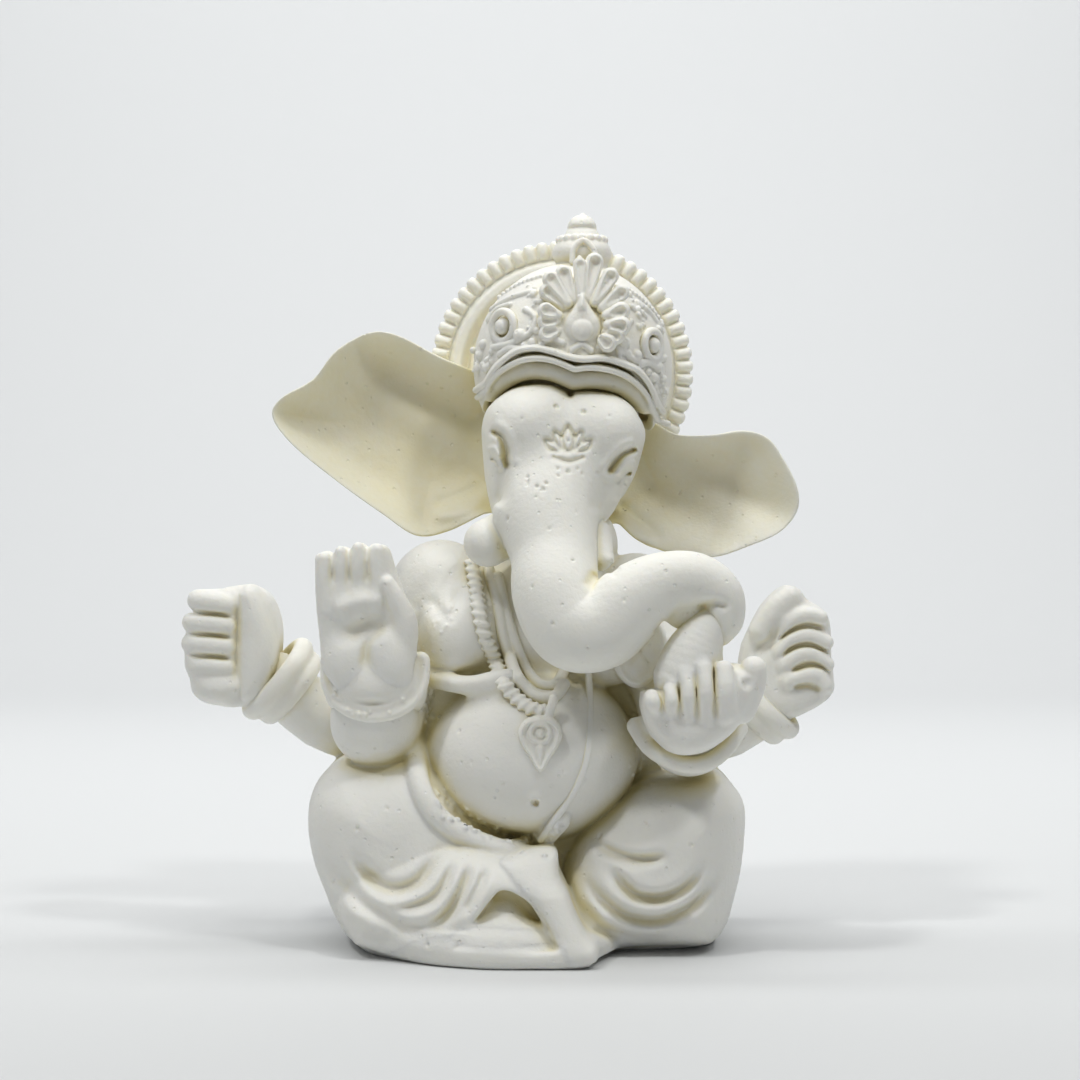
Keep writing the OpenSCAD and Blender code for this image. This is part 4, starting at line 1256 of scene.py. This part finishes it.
def foliage():
    """The small leaves that fill the ground between the larger ornaments, in threes."""
    for _ in range(SPRIGS):
        x, z = dice.uniform(-7.4, 19.4), dice.uniform(75, 88.4)
        low = np.interp(x, *zip(*RIM))
        away = math.hypot(x - FAN_C[0], z - FAN_C[1])
        off_dome = ((x - CROWN_C[0]) / 13.4) ** 2 + ((z - CROWN_C[2]) / 13) ** 2 > 0.97
        if z < low + 2.4 or away < 6.4 or off_dome:
            continue
        if min(math.hypot(x - rx, z - rz) for _, rx, rz, *_ in ROSETTES) < 3:
            continue
        a, size = dice.uniform(0, 2 * math.pi), dice.uniform(0.5, 0.95)
        for t in (0.0, 1.2, 2.4):
            pearl(x + size * math.cos(a + t), z + size * math.sin(a + t), 0.5 - 0.1 * t)


def finial():
    name = "crown_finial"
    crown.add(name, egg((7.2, -0.6, 94.3), (4.1, 4.1, 2.6)), 0.3)
    crown.add(name, [rod((7.2, -0.4, 91.4), (7.2, -0.4, 93.6), 3.8, 3.2)], 0.6)
    for i in range(18):
        a = math.radians(20 * i)
        x, y = 7.2 + 3.1 * math.sin(a), -0.5 - 3.1 * math.cos(a)
        crown.add(name, ball((x, y, 96.1), 0.62), 0.15)
    crown.add(name, [rod((7.2, -0.5, 96), (7.2, -0.5, 97.6), 2.9, 2.1)], 0.2)
    crown.add(name, [rod((7.2, -0.5, 97.4), (7.3, -0.5, 99.7), 1.6, 0.3)], 0.25)
    crown.fold([(4.8, 97.7), (9.6, 97.7)], 0.3, -0.3, (-8, 6))
    leaf = [(5.8, 92.6), (6, 94.4), (7.3, 95.6), (8.7, 94.3), (8.9, 92.6)]
    points = [(x, -5.0 + 0.12 * (z - 92.6), z) for x, z in smooth(leaf, 4)]
    crown.add(name, strand(points, 0.42), 0.15)


shell()
brow_band()
lining()
petals()
rosettes()
lumps()
foliage()
gem()
finial()

HALO_C = vec(4.5, 9.8, 78.5)
HALO_R, HALO_RIM = 18.8, 16.2
# height, radius, width and sharpness of the raised and sunk rings inside the beads
HALO_RINGS = ((0.9, 14.9, 0.95, 4), (-0.3, 13.4, 0.35, 2), (0.4, 12.5, 0.45, 2), (-0.5, 9, 4, 2))
BEADS = 60


def halo():
    block = Clay((-16, 4, 58), (26, 14, 99.5), CROWN_STEP)

    def relief(x, z):
        """How far the face stands forward at x, z, with the radius and the scalloped edge there."""
        dx, dz = x - HALO_C[0], z - HALO_C[2]
        r = np.sqrt(dx * dx + dz * dz)
        angle = np.arctan2(dx, dz)
        across = np.mod(angle * BEADS / (2 * np.pi), 1) * 2 - 1
        bead = np.sqrt(np.clip(1 - (across / 0.8) ** 2, 0, 1))
        ends = np.sqrt(np.clip(1 - ((r - 17.6) / 1.3) ** 2, 0, 1))
        lift = 0.35
        for height, middle, wide, power in HALO_RINGS:
            lift = lift + height * np.exp(-(((r - middle) / wide) ** power))
        rim = np.clip((r - HALO_RIM) / 0.25, 0, 1)
        lift = lift * (1 - rim) + rim * (0.5 + 0.9 * bead * ends)
        return r, lift, HALO_R - 0.45 * (1 - bead)

    def disc(x, y, z):
        r, lift, edge = relief(*xz_plane(x, z))
        front = (HALO_C[1] - 0.4 - lift)[:, None, :] - y
        back = y - (HALO_C[1] + 1.3)
        side = (r - edge)[:, None, :] + 0 * y
        return np.maximum(np.maximum(front, back), side) * 0.7

    def split(x, y, z, inner):
        wall = (relief(*xz_plane(x, z))[0] - HALO_RIM)[:, None, :] + 0 * y
        return np.maximum(disc(x, y, z), wall if inner else -wall)

    low, high = HALO_C - vec(19.2, 3.4, 19.2), HALO_C + vec(19.2, 2, 19.2)
    for name, inner in (("halo_disc", True), ("halo_beads", False)):
        block.add(name, [Shape(low, high, lambda x, y, z, inner=inner: split(x, y, z, inner))], 0.02)
    return block


halo_block = halo()

# ---------------------------------------------------------------- material


def cast_stone(name, tint, warm):
    """White cast stone powder: fine grain, pinholes, and painted shade, a darker warm tone where the surface
    is closed in.
    """
    mat = bpy.data.materials.new(name)
    mat.use_nodes = True
    nodes, links = mat.node_tree.nodes, mat.node_tree.links
    nodes.clear()

    def node(kind, values, feeds=()):
        """A node with its sockets or settings by name or number, and the outputs that feed its sockets."""
        n = nodes.new("ShaderNode" + kind)
        for key, value in values.items():
            if isinstance(key, int) or key in n.inputs:
                n.inputs[key].default_value = value
            else:
                setattr(n, key, value)
        for socket, output in feeds:
            links.new(output, n.inputs[socket])
        return n

    out = node("OutputMaterial", {})
    stone = node("BsdfPrincipled", {
        "Roughness": 0.55, "Specular IOR Level": 0.35, "Subsurface Weight": 0.25,
        "Subsurface Radius": (1.0, 0.85, 0.6), "Subsurface Scale": 0.0016
    })
    links.new(stone.outputs[0], out.inputs["Surface"])
    place = node("TexCoord", {}).outputs["Object"]
    crowding = node("Attribute", {"attribute_name": "crowding"}).outputs["Fac"]
    grain, cloud, speck = (
        node("TexNoise", {"Scale": scale, "Detail": detail}, [("Vector", place)]).outputs["Fac"]
        for scale, detail in ((2600.0, 4.0), (140.0, 3.0), (1000.0, 2.0))
    )
    cells = node("TexVoronoi", {"Scale": 520.0}, [("Vector", place)]).outputs["Distance"]

    # painted shade: the tone runs from tint to the darker warm colour as the surface closes in, unevenly
    push = node("Math", {"operation": "MULTIPLY_ADD", 1: 0.16}, [(0, cloud), (2, crowding)])
    fleck = node("Math", {"operation": "MULTIPLY_ADD", 1: 0.12}, [(0, speck), (2, push.outputs[0])])
    ramp = node("ValToRGB", {}, [("Fac", fleck.outputs[0])])
    for stop, at, colour in zip(ramp.color_ramp.elements, (0.32, 0.76), (tint, warm)):
        stop.position = at
        stop.color = (*colour, 1)
    links.new(ramp.outputs["Color"], stone.inputs["Base Color"])

    def ranged(output, low, high, to_low, to_high):
        ends = {"From Min": low, "From Max": high, "To Min": to_low, "To Max": to_high}
        return node("MapRange", ends, [("Value", output)]).outputs["Result"]

    # more matt where the surface is dustier
    links.new(ranged(cloud, 0.3, 0.7, 0.46, 0.64), stone.inputs["Roughness"])

    # pinholes, one near the middle of each cell that the surface happens to cut, then lumps, then grain
    normal = None
    for height, strength, distance in (
        (ranged(cells, 0.05, 0.14, 0.0, 1.0), 0.6, 0.0002), (speck, 0.3, 0.0003), (grain, 0.3, 0.00013)
    ):
        feeds = [("Height", height)] + ([("Normal", normal)] if normal else [])
        normal = node("Bump", {"Strength": strength, "Distance": distance}, feeds).outputs["Normal"]
    links.new(normal, stone.inputs["Normal"])
    return mat


STONE = {
    name: cast_stone(name, tint, warm)
    for name, tint, warm in (
        ("cast_body", (0.84, 0.835, 0.79), (0.78, 0.71, 0.44)),
        ("cast_head", (0.85, 0.845, 0.79), (0.80, 0.73, 0.44)),
        ("cast_ornament", (0.86, 0.85, 0.79), (0.78, 0.71, 0.44)),
        # painted light: the halo's tint and warm colour are lighter to stand in for light its face doesn't
        # get
        ("cast_halo", (0.93, 0.92, 0.85), (0.84, 0.78, 0.56)),
    )
}
# painted shade on these nodes beyond what their crevices give, darkening and warming the ears and the crown
EXTRA_PAINTED_SHADE = {"right_ear": 0.28, "left_ear": 0.2, "crown_dome": 0.05}

# ---------------------------------------------------------------- meshes

SLOT = {part["node"]: part["material_slot"] for part in frame["record"]["subparts"]}


def make_pieces(clay):
    points, normals, on_skin, made = skin(clay)
    closed_in = room.crowding(points, normals)
    for name, (quads, outside) in made.items():
        used, flat = np.unique(quads, return_inverse=True)
        quads = flat.reshape(quads.shape)
        mesh = bpy.data.meshes.new(name)
        mesh.vertices.add(len(used))
        mesh.vertices.foreach_set("co", (points[used] * MM).astype(np.float32).ravel())
        mesh.loops.add(quads.size)
        mesh.loops.foreach_set("vertex_index", quads.astype(np.int32).ravel())
        mesh.polygons.add(len(quads))
        mesh.polygons.foreach_set("loop_start", np.arange(0, quads.size, 4, dtype=np.int32))
        mesh.update(calc_edges=True)
        # the crowding attribute, with the extra painted shade, darkens and warms the colour in creases and
        # hollows
        tone = mesh.attributes.new("crowding", "FLOAT", "POINT")
        tone.data.foreach_set("value", (closed_in[used] + EXTRA_PAINTED_SHADE.get(name, 0.0)).astype(np.float32))
        flat_normal = np.empty(len(quads) * 3, dtype=np.float32)
        mesh.polygons.foreach_get("normal", flat_normal)
        each = np.repeat(flat_normal.reshape(-1, 3), 4, axis=0)
        soft = np.repeat(outside, 4) & on_skin[used][quads.ravel()]
        each[soft] = normals[used][quads.ravel()][soft]
        mesh.polygons.foreach_set("use_smooth", np.ones(len(quads), dtype=bool))
        mesh.normals_split_custom_set(each)
        mesh.materials.append(STONE[SLOT[name]])
        piece = bpy.data.objects.new(name + ".cast", mesh)
        bpy.context.scene.collection.objects.link(piece)
        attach(piece, "root")
        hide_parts(name)


BLOCKS = (body, face, right_front, left_front, right_rear, left_rear, jewels, crown, halo_block)
room = Room(BLOCKS, ROOM_STEP, (1.0, 2.5, 5.0))
for block in BLOCKS:
    make_pieces(block)

# ---------------------------------------------------------------- stage, light and camera


def backdrop():
    """A pale table that curves up into the wall behind."""
    mesh = bpy.data.meshes.new("backdrop")
    wide, near, far, high, bend = 1.6, -0.9, 0.75, 1.3, 0.3
    line = [(near, 0.0), (far - bend, 0.0)]
    line += [
        (far - bend + bend * math.sin(math.radians(a)), bend - bend * math.cos(math.radians(a)))
        for a in range(6, 91, 6)
    ]
    line.append((far, high))
    points = [(x, y, z) for y, z in line for x in (-wide, wide)]
    faces = [(2 * i, 2 * i + 1, 2 * i + 3, 2 * i + 2) for i in range(len(line) - 1)]
    mesh.from_pydata(points, [], faces)
    mesh.polygons.foreach_set("use_smooth", np.ones(len(faces), dtype=bool))
    mat = bpy.data.materials.new("backdrop_paper")
    mat.use_nodes = True
    shader = mat.node_tree.nodes["Principled BSDF"]
    shader.inputs["Base Color"].default_value = (0.68, 0.692, 0.697, 1)
    shader.inputs["Roughness"].default_value = 0.7
    shader.inputs["Specular IOR Level"].default_value = 0.2
    mesh.materials.append(mat)
    sheet = bpy.data.objects.new("backdrop", mesh)
    bpy.context.scene.collection.objects.link(sheet)


def lamp(name, place, aim, size, power, colour):
    data = bpy.data.lights.new(name, "AREA")
    data.shape = "RECTANGLE"
    data.size, data.size_y = size
    data.energy = power
    data.color = colour
    lamp_object = bpy.data.objects.new(name, data)
    lamp_object.location = place
    lamp_object.rotation_euler = (Vector(aim) - Vector(place)).to_track_quat("-Z", "Y").to_euler()
    bpy.context.scene.collection.objects.link(lamp_object)


backdrop()
middle = (0.0, 0.0, 0.045)
for lamp_settings in (
    ("left_softbox", (-0.24, -0.24, 0.5), middle, (0.06, 0.06), 0.76, (1.0, 1.0, 0.985)),
    ("right_softbox", (0.24, -0.24, 0.5), middle, (0.06, 0.06), 0.64, (1.0, 1.0, 0.985)),
    ("top_softbox", (0.0, -0.12, 0.42), middle, (0.22, 0.16), 0.46, (1.0, 1.0, 0.99)),
    ("wall_softbox", (0.0, 0.12, 0.62), (0.0, 0.75, 0.2), (1.2, 0.3), 6.3, (1.0, 1.0, 1.0)),
):
    lamp(*lamp_settings)

world = bpy.data.worlds.new("studio")
world.use_nodes = True
world.node_tree.nodes["Background"].inputs["Color"].default_value = (0.97, 0.985, 1.0, 1)
world.node_tree.nodes["Background"].inputs["Strength"].default_value = 0.12
bpy.context.scene.world = world
bpy.context.scene.view_settings.view_transform = "Standard"

CAMERA_PLACE = (1.39, -310, 54.6)
FOCAL_LENGTH, SENSOR_WIDTH = 74.4, 36
camera_data = bpy.data.cameras.new("camera")
camera_data.lens = FOCAL_LENGTH
camera_data.sensor_width = SENSOR_WIDTH
camera_data.clip_start = 0.01
camera = bpy.data.objects.new("camera", camera_data)
camera.location = [v * MM for v in CAMERA_PLACE]
camera.rotation_euler = (math.radians(90), 0, 0)
bpy.context.scene.collection.objects.link(camera)
bpy.context.scene.camera = camera
